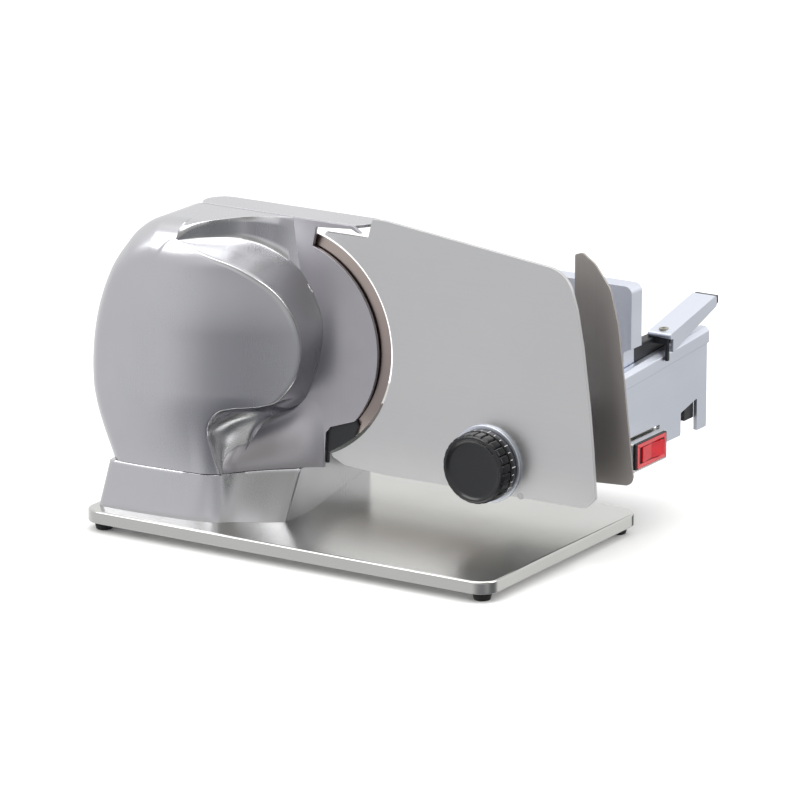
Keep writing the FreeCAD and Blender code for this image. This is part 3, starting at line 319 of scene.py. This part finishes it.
def soften(node: str, width_mm: float, segments: int = 3, angle: float = 28.0) -> bpy.types.Object:
    """Stand a copy with rounded edges in for a CAD node whose form is right but whose edges are razor sharp.

    Args:
        node: The CAD node.
        width_mm: Width of the rounding.
        segments: Steps across the rounding.
        angle: Only edges sharper than this, in degrees, are rounded.

    Returns:
        The rounded piece.
    """
    work = bmesh.new()
    work.from_mesh(frame["nodes"][node].data)
    bmesh.ops.remove_doubles(work, verts=work.verts, dist=2e-6)
    bmesh.ops.dissolve_limit(work, angle_limit=math.radians(0.6), verts=work.verts, edges=work.edges)
    sharp = [edge for edge in work.edges
             if len(edge.link_faces) == 2 and edge.calc_face_angle(0.0) > math.radians(angle)]
    bmesh.ops.bevel(work, geom=sharp, offset=width_mm * MM, offset_type="OFFSET", segments=segments,
                    profile=0.5, affect="EDGES", clamp_overlap=True)
    bmesh.ops.triangulate(work, faces=[face for face in work.faces if len(face.verts) > 4])
    mesh = bpy.data.meshes.new(node + "_rounded")
    work.to_mesh(mesh)
    work.free()
    finish = NODE_FINISH.get(node, SLOT_FINISH[slot_of_node(node)])
    piece = dress_mesh(node + "_rounded", mesh, finish, body_of_node(node), 50.0)
    weight = piece.modifiers.new("even_normals", "WEIGHTED_NORMAL")
    weight.keep_sharp = True
    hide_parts(node)
    return piece


def smoothstep(low: float, high: float, value: float) -> float:
    """A smooth ramp from zero at low to one at high."""
    share = min(1.0, max(0.0, (value - low) / (high - low)))
    return share * share * (3 - 2 * share)


def arc_points(first: tuple[float, float], middle: tuple[float, float], last: tuple[float, float],
               count: int = 24) -> list[tuple[float, float]]:
    """Points along the circle through three points, without the last."""
    (ax, ay), (bx, by), (cx, cy) = first, middle, last
    d = 2 * (ax * (by - cy) + bx * (cy - ay) + cx * (ay - by))
    ux = ((ax**2 + ay**2) * (by - cy) + (bx**2 + by**2) * (cy - ay) + (cx**2 + cy**2) * (ay - by)) / d
    uy = ((ax**2 + ay**2) * (cx - bx) + (bx**2 + by**2) * (ax - cx) + (cx**2 + cy**2) * (bx - ax)) / d
    radius = math.dist((ux, uy), first)
    start = math.atan2(ay - uy, ax - ux)
    through = (math.atan2(by - uy, bx - ux) - start) % (2 * math.pi)
    sweep = (math.atan2(cy - uy, cx - ux) - start) % (2 * math.pi)
    if through > sweep:
        sweep -= 2 * math.pi
    return [(ux + radius * math.cos(start + sweep * k / count), uy + radius * math.sin(start + sweep * k / count))
            for k in range(count)]


# ------------------------------------------------------------------ motor housing
def curve_at(knots: Sequence[tuple[float, float]], x: float) -> float:
    """The height at x of a smooth curve through the knots, level beyond its ends."""
    if x <= knots[0][0]:
        return knots[0][1]
    if x >= knots[-1][0]:
        return knots[-1][1]
    span = next(k for k in range(len(knots) - 1) if x <= knots[k + 1][0])
    (x0, y0), (x1, y1) = knots[span], knots[span + 1]
    rise = (y1 - y0) / (x1 - x0)
    before = (y0 - knots[span - 1][1]) / (x0 - knots[span - 1][0]) if span else rise
    after = (knots[span + 2][1] - y1) / (knots[span + 2][0] - x1) if span + 2 < len(knots) else rise
    start, end = (before + rise) / 2 * (x1 - x0), (rise + after) / 2 * (x1 - x0)
    t = (x - x0) / (x1 - x0)
    return (y0 * (2 * t**3 - 3 * t**2 + 1) + start * (t**3 - 2 * t**2 + t)
            + y1 * (3 * t**2 - 2 * t**3) + end * (t**3 - t**2))


def spline(knots: Sequence[Sequence[float]], steps: int) -> list[Vector]:
    """Points on a smooth curve through the knots, steps of them in each span."""
    ends = [Vector(knot) for knot in knots]
    ends = [2 * ends[0] - ends[1]] + ends + [2 * ends[-1] - ends[-2]]
    points = []
    for before, first, second, after in zip(ends, ends[1:], ends[2:], ends[3:]):
        for step in range(steps):
            t = step / steps
            points.append(0.5 * (2 * first + (second - before) * t
                                 + (2 * before - 5 * first + 4 * second - after) * t**2
                                 + (3 * first - before - 3 * second + after) * t**3))
    return points + [ends[-2]]


Point = tuple[float, float, float]


@dataclass
class HousingShell:
    """The deep-drawn shell over the motor: a broad front, a drum towards the blade and a cove round it."""

    top: float = 247.0
    low: float = 54.25
    land: float = -25.55
    spine: float = -108.0
    spine_top: float = 150.0
    side_round: float = 14.0
    top_round: float = 30.0
    rim: float = 0.9
    cove: float = 46.0
    flat_front: float = -68.0
    fold: float = 40.0
    recess_bend: float = 56.0
    recess_top: float = 112.0
    steps: int = 30
    # plan of the front at the foot and at half height, left to right
    foot_plan: tuple[tuple[float, float], ...] = (
        (-171, -94.3), (-130, -94.2), (-96, -91.4), (-80, -88.2), (-71, -82), (-60, -68))
    bulge_plan: tuple[tuple[float, float], ...] = (
        (-190, -101), (-135, -102), (-105, -99.8), (-84, -94.5), (-66, -86.5), (-48, -75.5), (-30, -60),
        (-18, -47), (-8, -34))
    recess_plan: tuple[tuple[float, float], ...] = (
        (-84, -84), (-70, -78), (-66, -72.5), (-50, -53.5), (-37, -41.5), (-28, -33.5), (-21, -28), (-17, -25.7))
    # the drum's front rim (x, z) and the foot of the cove beside it (x, y, z), from the bottom up and over
    rails: tuple[tuple[float, ...], ...] = (
        (-73, 54.25, -66, -72, 54.25), (-76, 66, -64.5, -68, 65.5), (-78, 75.5, -63, -65, 73),
        (-80, 86.5, -62, -61, 80), (-78, 96, -60.5, -55, 87), (-72, 104, -58, -48, 91),
        (-62, 107, -52, -41, 93.5), (-52, 107.8, -43, -34, 97), (-42, 109.2, -35, -28.5, 104),
        (-34, 112.5, -30.5, -26, 112), (-25.6, 125, -23.5, -25.5, 128), (-21.7, 140, -19.5, -25.5, 143),
        (-21, 156, -17.2, -25.5, 160), (-24, 174, -18.2, -25.5, 173), (-32, 192, -25, -25.5, 189),
        (-44, 206, -37, -25.6, 206), (-62, 218, -55, -31, 220.5), (-83, 226, -76, -44, 230),
        (-98, 231.5, -95, -74, 235), (-106, 235.5, -106, -92.4, 235.5))
    # the edge of the flat top above the cove, for the last five of them (x, y, z)
    ridge: tuple[Point, ...] = (
        (-38, -24.0, 236), (-55, -31, 246.9), (-76, -44, 246.9), (-96, -76, 245.4), (-106, -92.4, 235.5))

    def front(self, x: float, z: float) -> float:
        """How far forward the broad front stands at a place."""
        foot, bulge = curve_at(self.foot_plan, x), curve_at(self.bulge_plan, x)
        deep = foot + (bulge - foot) * smoothstep(self.low, 118.0, z) + 4 * smoothstep(165.0, 235.0, z)
        start = self.top - self.top_round
        over = min(1.0, max(0.0, (z - start) / self.top_round))
        return deep + self.top_round * (1 - math.sqrt(1 - over**2))

    def left_outline(self) -> list[tuple[float, float]]:
        """The outer edge from the foot on the left up and over to the tip of the cove."""
        side = arc_points((-169.5, self.low), (-183.0, 143.0), (-154.0, 228.0), 160)
        shoulder = arc_points((-154.0, 228.0), (-144.0, 240.0), (-128.0, self.top), 30)
        return side + shoulder + [(-128.0, self.top), (-117.0, self.top), (self.rails[-1][0], self.top)]

    def outline_at(self, z: float) -> float:
        """The left edge at a height."""
        line = self.left_outline()
        for (x0, z0), (x1, z1) in zip(line, line[1:]):
            if z0 <= z <= z1:
                return x0 + (x1 - x0) * (z - z0) / max(1e-6, z1 - z0)
        return line[0][0]

    def build(self) -> list[bpy.types.Object]:
        """Build the shell and its recessed foot.

        Returns:
            Both pieces, which stand for the CAD housing.
        """
        rows = self._right_rows()
        levels = [row[0][2] for row in rows if row[0][2] < self.spine_top]
        rows += self._over_rows() + [self._left_row(z) for z in reversed(levels)]
        points: list[Point] = [place for row in rows for place in row]
        width = len(rows[0])
        faces = [(a * width + k, a * width + k + 1, (a + 1) * width + k + 1, (a + 1) * width + k)
                 for a in range(len(rows) - 1) for k in range(width - 1)]
        shell = make_piece("motor_housing_shell", points, faces, POLISHED_STAINLESS, "frame",
                           62.0)
        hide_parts("motor_housing")
        foot = self._recess()
        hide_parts("motor_housing")
        return [shell, foot]

    def _inner(self, x: float, z: float) -> list[Point]:
        """The broad front from its spine out to a place on its edge."""
        start_z = min(z, self.spine_top)
        return [(self.spine + (x - self.spine) * k / self.steps,
                 self.front(self.spine + (x - self.spine) * k / self.steps, start_z + (z - start_z) * k / self.steps),
                 start_z + (z - start_z) * k / self.steps) for k in range(self.steps + 1)]

    def _right_rows(self) -> list[list[Point]]:
        """Rows from the spine over the drum's rim and down the cove, bottom to tip."""
        rails = spline(self._padded_rails(), 14)
        rows = []
        highest = 0.0
        for ex, ez, bx, by, bz, ux, uy, uz in (tuple(rail) for rail in rails):
            highest = max(highest + 0.02, ez) if rows else ez
            ez, uz = highest, min(uz, self.top - 0.1)
            by = self.recess_front(bx, bz) + 0.2 if bz < self.recess_top else by + 0.15
            across = Vector((bx - ex, bz - ez))
            gap = across.length
            across = across / gap if gap > 0.4 else Vector((0.0, 0.0))
            rim = min(self.rim, gap * 0.3)
            ey = self.front(ex, ez)
            row = self._inner(ex - across.x * rim, ez - across.y * rim)
            row.append((ex - across.x * 0.25 * rim, ey + 0.3 * rim, ez - across.y * 0.25 * rim))
            row.append((ex, ey + rim, ez))
            for k in range(1, 13):
                turn = math.radians(self.cove * k / 12)
                out = (1 - math.cos(turn)) / (1 - math.cos(math.radians(self.cove)))
                back = math.sin(turn) / math.sin(math.radians(self.cove))
                row.append((ex + (bx - ex) * out, ey + rim + (by - ey - rim) * back, ez + (bz - ez) * out))
            row += [(bx + (ux - bx) * k / 4, by + (uy - by) * k / 4, bz + (uz - bz) * k / 4) for k in range(1, 5)]
            row += self._crest(Vector((ux, uy, uz)))
            rows.append(row)
        return rows

    def recess_front(self, x: float, z: float) -> float:
        """How far forward the recessed corner stands at a place."""
        near = curve_at(self.recess_plan, x)
        return near + (-25.3 - near) * smoothstep(self.recess_bend, self.recess_top, z)

    def _padded_rails(self) -> list[tuple[float, ...]]:
        """The rails with a ridge point each: beside the cove's foot, or on the edge of the flat top."""
        first = len(self.rails) - len(self.ridge)
        rows = []
        for index, rail in enumerate(self.rails):
            ex, ez, bx, by, bz = rail
            hidden = (bx, min(by + 3.0, -24.0), bz)
            extra = hidden if index < first else self.ridge[index - first]
            rows.append(rail + extra)
        return rows

    def _crest(self, ridge: Vector) -> list[Point]:
        """From the ridge over onto the flat top and back; folded away behind the deflector lower down."""
        if ridge.z < self.top - self.fold:
            return [(ridge.x, ridge.y + 0.02 * k, ridge.z) for k in range(1, 8)]
        flat = max(ridge.y + 0.6, self.flat_front)
        reach = flat - ridge.y
        rise = self.top - ridge.z
        row = []
        for k in range(1, 6):
            back = k / 5
            row.append((ridge.x, ridge.y + reach * back, ridge.z + rise * math.sqrt(1 - (1 - back)**2)))
        return row + [(ridge.x, (flat + self.land) / 2, self.top), (ridge.x, max(self.land, flat), self.top)]

    def _outer(self, x: float, z: float, lean: float) -> list[Point]:
        """A row of the plain part: over the rounded edge at a place on the outline, and back."""
        start = Vector((self.spine, min(z, self.spine_top)))
        ray = (Vector((x, z)) - start).normalized()
        angle = math.degrees(math.atan2(ray.y, ray.x))
        radius = self.side_round + (self.top_round - self.side_round) * (1 - smoothstep(104.0, 136.0, angle))
        inner = Vector((x, z)) - ray * radius
        first = math.radians(lean)
        edge = inner + ray * radius * math.sin(first)
        base = self.front(inner.x, inner.y)
        row = self._inner(edge.x, edge.y)
        for k in range(1, 24):
            turn = first + (math.pi / 2 - first) * k / 23
            at = inner + ray * radius * math.sin(turn)
            row.append((at.x, base + radius * (1 - math.cos(turn)), at.y))
        back = row[-1][1]
        return row + [(x, back + (self.land - back) * share, z) for share in (0.5, 1.0)]

    def _left_row(self, z: float) -> list[Point]:
        """A row of the plain left side."""
        return self._outer(self.outline_at(z), z, 0.0)

    def _over_rows(self) -> list[list[Point]]:
        """Rows from the tip of the cove over the top and down the left shoulder to the top of the spine."""
        line = [place for place in reversed(self.left_outline()) if place[1] > self.spine_top]
        even = resample_open(line, 110)
        rows = []
        for x, z in even[1:]:
            angle = math.degrees(math.atan2(z - self.spine_top, x - self.spine))
            rows.append(self._outer(x, z, 38.0 * (1 - smoothstep(90.0, 104.0, angle))))
        return rows

    def _recess(self) -> bpy.types.Object:
        """The shallow corner right of the shell's foot, which rises to the flat beside the blade."""
        across, up = 60, 40
        points = []
        first, last = self.recess_plan[0][0] + 6, self.recess_plan[-1][0]
        for j in range(up + 1):
            z = self.low + (self.recess_top - self.low) * j / up
            for k in range(across + 1):
                x = first + (last - first) * k / across
                points.append((x, self.recess_front(x, z), z))
        wide = across + 1
        faces = [(a * wide + k, a * wide + k + 1, (a + 1) * wide + k + 1, (a + 1) * wide + k)
                 for a in range(up) for k in range(across)]
        return make_piece("motor_housing_corner", points, faces, DEFLECTOR_STAINLESS, "frame",
                          60.0)


def resample_open(points: Sequence[tuple[float, float]], count: int) -> list[tuple[float, float]]:
    """Spread count points evenly along an open line, ends included."""
    lengths = [0.0]
    for first, second in zip(points, points[1:]):
        lengths.append(lengths[-1] + math.dist(first, second))
    spread = []
    span = 0
    for step in range(count):
        goal = lengths[-1] * step / (count - 1)
        while span < len(points) - 2 and lengths[span + 1] < goal:
            span += 1
        share = min(1.0, (goal - lengths[span]) / max(1e-9, lengths[span + 1] - lengths[span]))
        first, second = points[span], points[span + 1]
        spread.append((first[0] + share * (second[0] - first[0]), first[1] + share * (second[1] - first[1])))
    return spread


# ------------------------------------------------------------------ pedestal, dial and switch
@dataclass
class PedestalShell:
    """The flared sheet-metal pedestal, with the small step in its front that carries on the drum's foot."""

    low: float = 17.04
    top: float = 54.0
    wall: float = 2.0
    edge: float = 0.6
    bend: float = -24.0
    back: tuple[float, float] = (-58.0, 108.0)
    rows: int = 14
    foot_plan: tuple[tuple[float, float], ...] = (
        (-177, -98.5), (-137, -98), (-102, -95), (-84, -91.6), (-73, -88.6), (-62, -79.5), (-44, -69), (-33.5, -62),
        (-30.4, -58), (-30, -52))
    top_plan: tuple[tuple[float, float], ...] = (
        (-169.5, -94.2), (-130, -94.2), (-96, -91.4), (-82, -89), (-72.5, -84), (-65.5, -72.5), (-50, -53.5),
        (-35, -39.5), (-31.4, -36), (-31, -30))

    def _inset(self, step: float, share: float, z: float) -> list[Point]:
        """The plan at a share of the height, drawn in by a step and set at a height."""
        middle = self.foot_plan[2][0]
        return [(x + (step if x < middle else -step), y + (step if y < 0 else -step), z)
                for x, y in self.outline(share)]

    def outline(self, share: float) -> list[tuple[float, float]]:
        """The plan at a share of the height, front from left to right and then round the back."""
        foot, top = spline(self.foot_plan, 12), spline(self.top_plan, 12)
        front = [first.lerp(second, share) for first, second in zip(foot, top)]
        right, back = self.back
        left = front[0].x
        side = [(front[-1].x, self.bend), (right, back - 4), (right - 1.2, back - 1.2), (right - 4, back),
                (left + 4, back), (left + 1.2, back - 1.2), (left, back - 4), (left, front[0].y + 5),
                (left + 0.6, front[0].y + 2)]
        return [(place.x, place.y) for place in front[1:]] + side

    def build(self) -> bpy.types.Object:
        """Build the pedestal, an upturned cup of sheet, which stands for the CAD one."""
        loops = [self._inset(self.wall, 1.0, self.top - self.wall), self._inset(self.wall, 0.0, self.low)]
        for row in range(self.rows + 1):
            share = row / self.rows
            loops.append(self._inset(0.0, share, self.low + (self.top - self.edge - self.low) * share))
        loops.append(self._inset(self.edge, 1.0, self.top))
        wide = len(loops[0])
        points = [place for loop in loops for place in loop]
        faces = [(a * wide + k, a * wide + (k + 1) % wide, (a + 1) * wide + (k + 1) % wide, (a + 1) * wide + k)
                 for a in range(len(loops) - 1) for k in range(wide)]
        faces += [tuple(range(wide)), tuple(range(len(points) - wide, len(points)))]
        shell = make_piece("pedestal_shell", points, faces, POLISHED_STAINLESS, "frame", 40.0)
        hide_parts("pedestal")
        return shell


def turned(profile: Sequence[tuple[float, float]], centre: tuple[float, float], count: int,
           reach: Callable[[int, float], float]) -> tuple[list[Point], list[tuple[int, ...]]]:
    """Turn a profile of (radius, y) about a line along Y.

    Args:
        profile: Radius and y of each ring; a first or last radius of zero closes it.
        centre: x and z of the line.
        count: Steps round.
        reach: The radius to use at a step, from the step and the profile's radius.

    Returns:
        Points and faces.
    """
    points: list[Point] = []
    for radius, y in profile:
        for step in range(count):
            angle = 2 * math.pi * step / count
            size = reach(step, radius)
            points.append((centre[0] + size * math.cos(angle), y, centre[1] + size * math.sin(angle)))
    faces = [(a * count + k, a * count + (k + 1) % count, (a + 1) * count + (k + 1) % count, (a + 1) * count + k)
             for a in range(len(profile) - 1) for k in range(count)]
    return points, faces


@dataclass
class ThicknessKnob:
    """The thickness knob: a glossy dished face, a grooved grip and a dial of marks on its skirt."""

    centre: tuple[float, float] = (125.5, 78.0)
    radius: float = 27.5
    near: float = -41.1
    far: float = -23.1
    grooves: int = 24
    marks: int = 30
    step: int = 360

    def build(self) -> list[bpy.types.Object]:
        """Build the knob and its dial marks.

        Returns:
            The knob, which stands for the CAD one, and its printed marks.
        """
        skirt = self.far - 6.4

        def grip(step: int, radius: float) -> float:
            """The radius with the finger grooves, which fade towards the face."""
            if radius < self.radius - 1.6:
                return radius
            wave = math.cos(math.pi * 2 * self.grooves * step / self.step)
            return radius - 1.1 * max(0.0, wave) ** 6

        face = [(0.02, self.near + 1.9), (12.0, self.near + 1.8), (20.0, self.near + 1.5), (22.2, self.near + 1.1),
                (23.0, self.near + 0.35), (23.8, self.near), (24.8, self.near + 0.1), (25.8, self.near + 0.7)]
        side = [(26.6, self.near + 1.6), (26.9, self.near + 2.6), (27.0, skirt - 1.4)]
        points, faces = turned(face + side, self.centre, self.step, grip)
        base = len(points)
        plain = [(25.9, skirt - 1.2), (25.9, skirt - 0.6), (27.4, skirt - 0.2), (27.5, skirt + 0.2),
                 (27.5, self.far - 0.5), (27.1, self.far), (4.0, self.far)]
        more, extra = turned(plain, self.centre, self.step, lambda _, radius: radius)
        points += more
        faces += [tuple(index + base for index in one) for one in extra]
        ring = base - self.step
        faces += [(ring + k, ring + (k + 1) % self.step, base + (k + 1) % self.step, base + k)
                  for k in range(self.step)]
        knob = make_piece("thickness_knob_turned", points, faces, KNOB_ABS, "knob_unit", 40.0)
        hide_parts("thickness_knob")
        return [knob, self._marks(skirt)]

    def _marks(self, skirt: float) -> bpy.types.Object:
        """White index lines on the skirt, every third one longer."""
        points: list[Point] = []
        faces: list[tuple[int, ...]] = []
        for mark in range(self.marks):
            angle = 2 * math.pi * (mark + 0.5) / self.marks
            length = 4.6 if mark % 3 == 0 else 2.6
            half = 0.34 / self.radius
            base = len(points)
            for radius in (self.radius - 0.2, self.radius + 0.12):
                for turn in (angle - half, angle + half):
                    for y in (skirt + 0.5, skirt + 0.5 + length):
                        points.append((self.centre[0] + radius * math.cos(turn), y,
                                       self.centre[1] + radius * math.sin(turn)))
            faces += [tuple(base + k for k in side) for side in
                      ((0, 1, 3, 2), (4, 6, 7, 5), (0, 4, 5, 1), (2, 3, 7, 6), (0, 2, 6, 4), (1, 5, 7, 3))]
        return make_piece("thickness_dial_marks", points, faces, WHITE_PAINT, "knob_unit", 30.0)


@dataclass
class SwitchFrame:
    """The red lens frame that stands round the rocker, over the black bezel."""

    face: float = 192.55
    proud: float = 0.7
    near: float = 88.6
    far: float = 132.4
    low: float = 56.7
    top: float = 75.9
    bar: float = 3.2
    rounding: float = 1.6

    def loop(self, inset: float, x: float) -> list[Point]:
        """A rounded rectangle at a depth."""
        radius = max(0.5, self.rounding - inset)
        middle_y, middle_z = (self.near + self.far) / 2, (self.low + self.top) / 2
        points: list[Point] = []
        corners = ((self.far - inset, self.top - inset, 0), (self.near + inset, self.top - inset, 90),
                   (self.near + inset, self.low + inset, 180), (self.far - inset, self.low + inset, 270))
        for y, z, first in corners:
            cy = y - radius if y > middle_y else y + radius
            cz = z - radius if z > middle_z else z + radius
            for step in range(7):
                angle = math.radians(first + 15 * step)
                points.append((x, cy + radius * math.cos(angle), cz + radius * math.sin(angle)))
        return points

    def build(self) -> bpy.types.Object:
        """Build the frame."""
        front = self.face + self.proud
        loops = [self.loop(0.0, self.face), self.loop(0.0, front - 0.35), self.loop(0.35, front),
                 self.loop(self.bar - 0.5, front), self.loop(self.bar, front - 0.5), self.loop(self.bar, self.face)]
        points = [place for loop in loops for place in loop]
        wide = len(loops[0])
        faces = [(a * wide + k, a * wide + (k + 1) % wide, ((a + 1) % len(loops)) * wide + (k + 1) % wide,
                  ((a + 1) % len(loops)) * wide + k) for a in range(len(loops)) for k in range(wide)]
        return make_piece("switch_lens_frame", points, faces, RED_SWITCH, "frame", 40.0)


# ------------------------------------------------------------------ camera, light and floor
@dataclass(frozen=True)
class Panel:
    """A soft-edged patch of the studio's walls, by where it stands and how wide it is, in degrees."""

    azimuth: float
    elevation: float
    inner: float
    outer: float
    tone: str

    def direction(self) -> tuple[float, float, float]:
        """The unit vector from the slicer to its middle."""
        a, e = math.radians(self.azimuth), math.radians(self.elevation)
        return (math.sin(a) * math.cos(e), -math.cos(a) * math.cos(e), math.sin(e))


STUDIO_WHITE = "#FFFFFF"
PANELS: tuple[Panel, ...] = (
    Panel(-32.0, -16.0, 10.0, 75.0, "#E4E4E6"),
    Panel(100.0, -4.0, 8.0, 40.0, "#6F7270"),
    Panel(176.0, -18.0, 4.0, 24.0, "#4E534A"),
    Panel(36.0, -48.0, 22.0, 58.0, "#77787E"),
    Panel(105.0, -52.0, 18.0, 50.0, "#74757B"),
    Panel(60.0, 30.0, 5.0, 40.0, "#A9A8A4"),
)


@dataclass
class Studio:
    """Plain pale floor, soft light and the camera."""

    azimuth: float = 32.2
    elevation: float = 15.6
    distance: float = 4.412
    lens: float = 270.0
    target: tuple[float, float, float] = (0.1088, -0.1162, 0.1476)

    def build(self) -> None:
        """Set the camera, the lights, the sky and the floor."""
        self._camera()
        self._light("key_softbox", (-1.2, -2.2, 2.4), 2.2, 48.0)
        self._light("right_softbox", (2.4, 0.8, 1.6), 1.8, 34.0)
        self._light("top_softbox", (0.2, 0.3, 3.0), 2.4, 40.0)
        self._sky()
        self._floor()

    def _camera(self) -> None:
        """Aim a long lens at the slicer."""
        azimuth, elevation = math.radians(self.azimuth), math.radians(self.elevation)
        back = Vector((math.sin(azimuth) * math.cos(elevation), -math.cos(azimuth) * math.cos(elevation),
                       math.sin(elevation)))
        data = bpy.data.cameras.new("camera")
        data.lens = self.lens
        data.sensor_width = 36.0
        data.clip_end = 50.0
        camera = bpy.data.objects.new("camera", data)
        camera.location = Vector(self.target) + back * self.distance
        camera.rotation_euler = back.to_track_quat("Z", "Y").to_euler()
        bpy.context.scene.collection.objects.link(camera)
        bpy.context.scene.camera = camera
        bpy.context.scene.view_settings.view_transform = "Standard"

    def _light(self, name: str, place: tuple[float, float, float], size: float, power: float) -> None:
        """Add a square soft light aimed at the slicer."""
        data = bpy.data.lights.new(name, "AREA")
        data.size = size
        data.energy = power
        light = bpy.data.objects.new(name, data)
        light.location = place
        aim = Vector(place) - Vector((0.0, 0.0, 0.12))
        light.rotation_euler = aim.to_track_quat("Z", "Y").to_euler()
        bpy.context.scene.collection.objects.link(light)

    def _sky(self) -> None:
        """A white studio with the soft grey panels that polished metal needs to show its form."""
        world = bpy.data.worlds.new("studio")
        bpy.context.scene.world = world
        world.use_nodes = True
        tree = world.node_tree
        background = tree.nodes["Background"]
        place = add_node(tree, "ShaderNodeTexCoord").outputs["Generated"]
        colour: bpy.types.NodeSocket | None = None
        for panel in PANELS:
            aim = add_node(tree, "ShaderNodeVectorMath", {"operation": "DOT_PRODUCT"}, {
                0: place, 1: panel.direction()})
            near = add_node(tree, "ShaderNodeMapRange", {"interpolation_type": "SMOOTHSTEP"}, {
                "Value": aim.outputs["Value"], "From Min": math.cos(math.radians(panel.outer)),
                "From Max": math.cos(math.radians(panel.inner)), "To Min": 0.0, "To Max": 1.0})
            tone = add_node(tree, "ShaderNodeMix", {"data_type": "RGBA"}, {
                "Factor": near.outputs["Result"], 6: colour if colour else linear(STUDIO_WHITE),
                7: linear(panel.tone)})
            colour = tone.outputs[2]
        tree.links.new(colour, background.inputs["Color"])
        background.inputs["Strength"].default_value = 1.0

    def _floor(self) -> None:
        """A wide pale floor."""
        mesh = bpy.data.meshes.new("floor")
        half = 6.0
        mesh.from_pydata([(-half, -half, 0), (half, -half, 0), (half, half, 0), (-half, half, 0)], [], [(0, 1, 2, 3)])
        paper = Finish("white_paper_sweep", "#F6F6F5", "#F2F2F1", roughness=0.9, grain_mm=2.0, grain_bump=0.0,
                       cloud_mm=400, cloud=0.3)
        mesh.materials.append(material_of(paper))
        floor = bpy.data.objects.new("floor", mesh)
        floor.visible_glossy = False
        bpy.context.scene.collection.objects.link(floor)


# ------------------------------------------------------------------ whole slicer
SOFT_EDGES: dict[str, float] = {
    "base_plate": 0.8, "deflector_plate": 0.5, "top_hood": 0.5, "gauge_plate": 0.7, "thumb_guard": 0.5,
    "carriage_wall": 0.6, "carriage_top_rail": 0.6, "carriage_shelf": 0.4, "pusher_plate": 1.0,
    "pusher_bracket": 0.8, "pusher_handle": 1.0, "handle_end_cap": 0.6, "switch_housing": 0.8,
    "switch_bezel": 0.5, "rocker_switch": 0.7, "rail_beam": 0.6, "lower_blade_guard": 0.5,
    "knob_collar": 0.5, "slide_saddle": 0.6, "rail_end_cap": 0.6, "plate_support_arm": 0.8,
    "adjuster_nut": 0.6, "rubber_feet": 0.7, "cord_gland": 0.6, "blade_ring_guard": 0.5,
}


def dress_cad_nodes() -> None:
    """Give every CAD node the finish of its material slot."""
    for node, piece in frame["nodes"].items():
        finish = NODE_FINISH.get(node, SLOT_FINISH[slot_of_node(node)])
        material = material_of(finish)
        for slot in piece.material_slots:
            slot.material = material
        log.info("node %s: %s", node, finish.name)


def main() -> None:
    """Build the studio and every piece, and report them."""
    logging.basicConfig(level=logging.INFO, format="%(message)s")
    Studio().build()
    dress_cad_nodes()
    for node, width in SOFT_EDGES.items():
        log.info("rounded %s", soften(node, width).name)
    pieces = HousingShell().build() + ThicknessKnob().build() + [PedestalShell().build(), SwitchFrame().build()]
    for piece in pieces:
        log.info("built %s", piece.name)


if __name__ == "__main__":
    main()
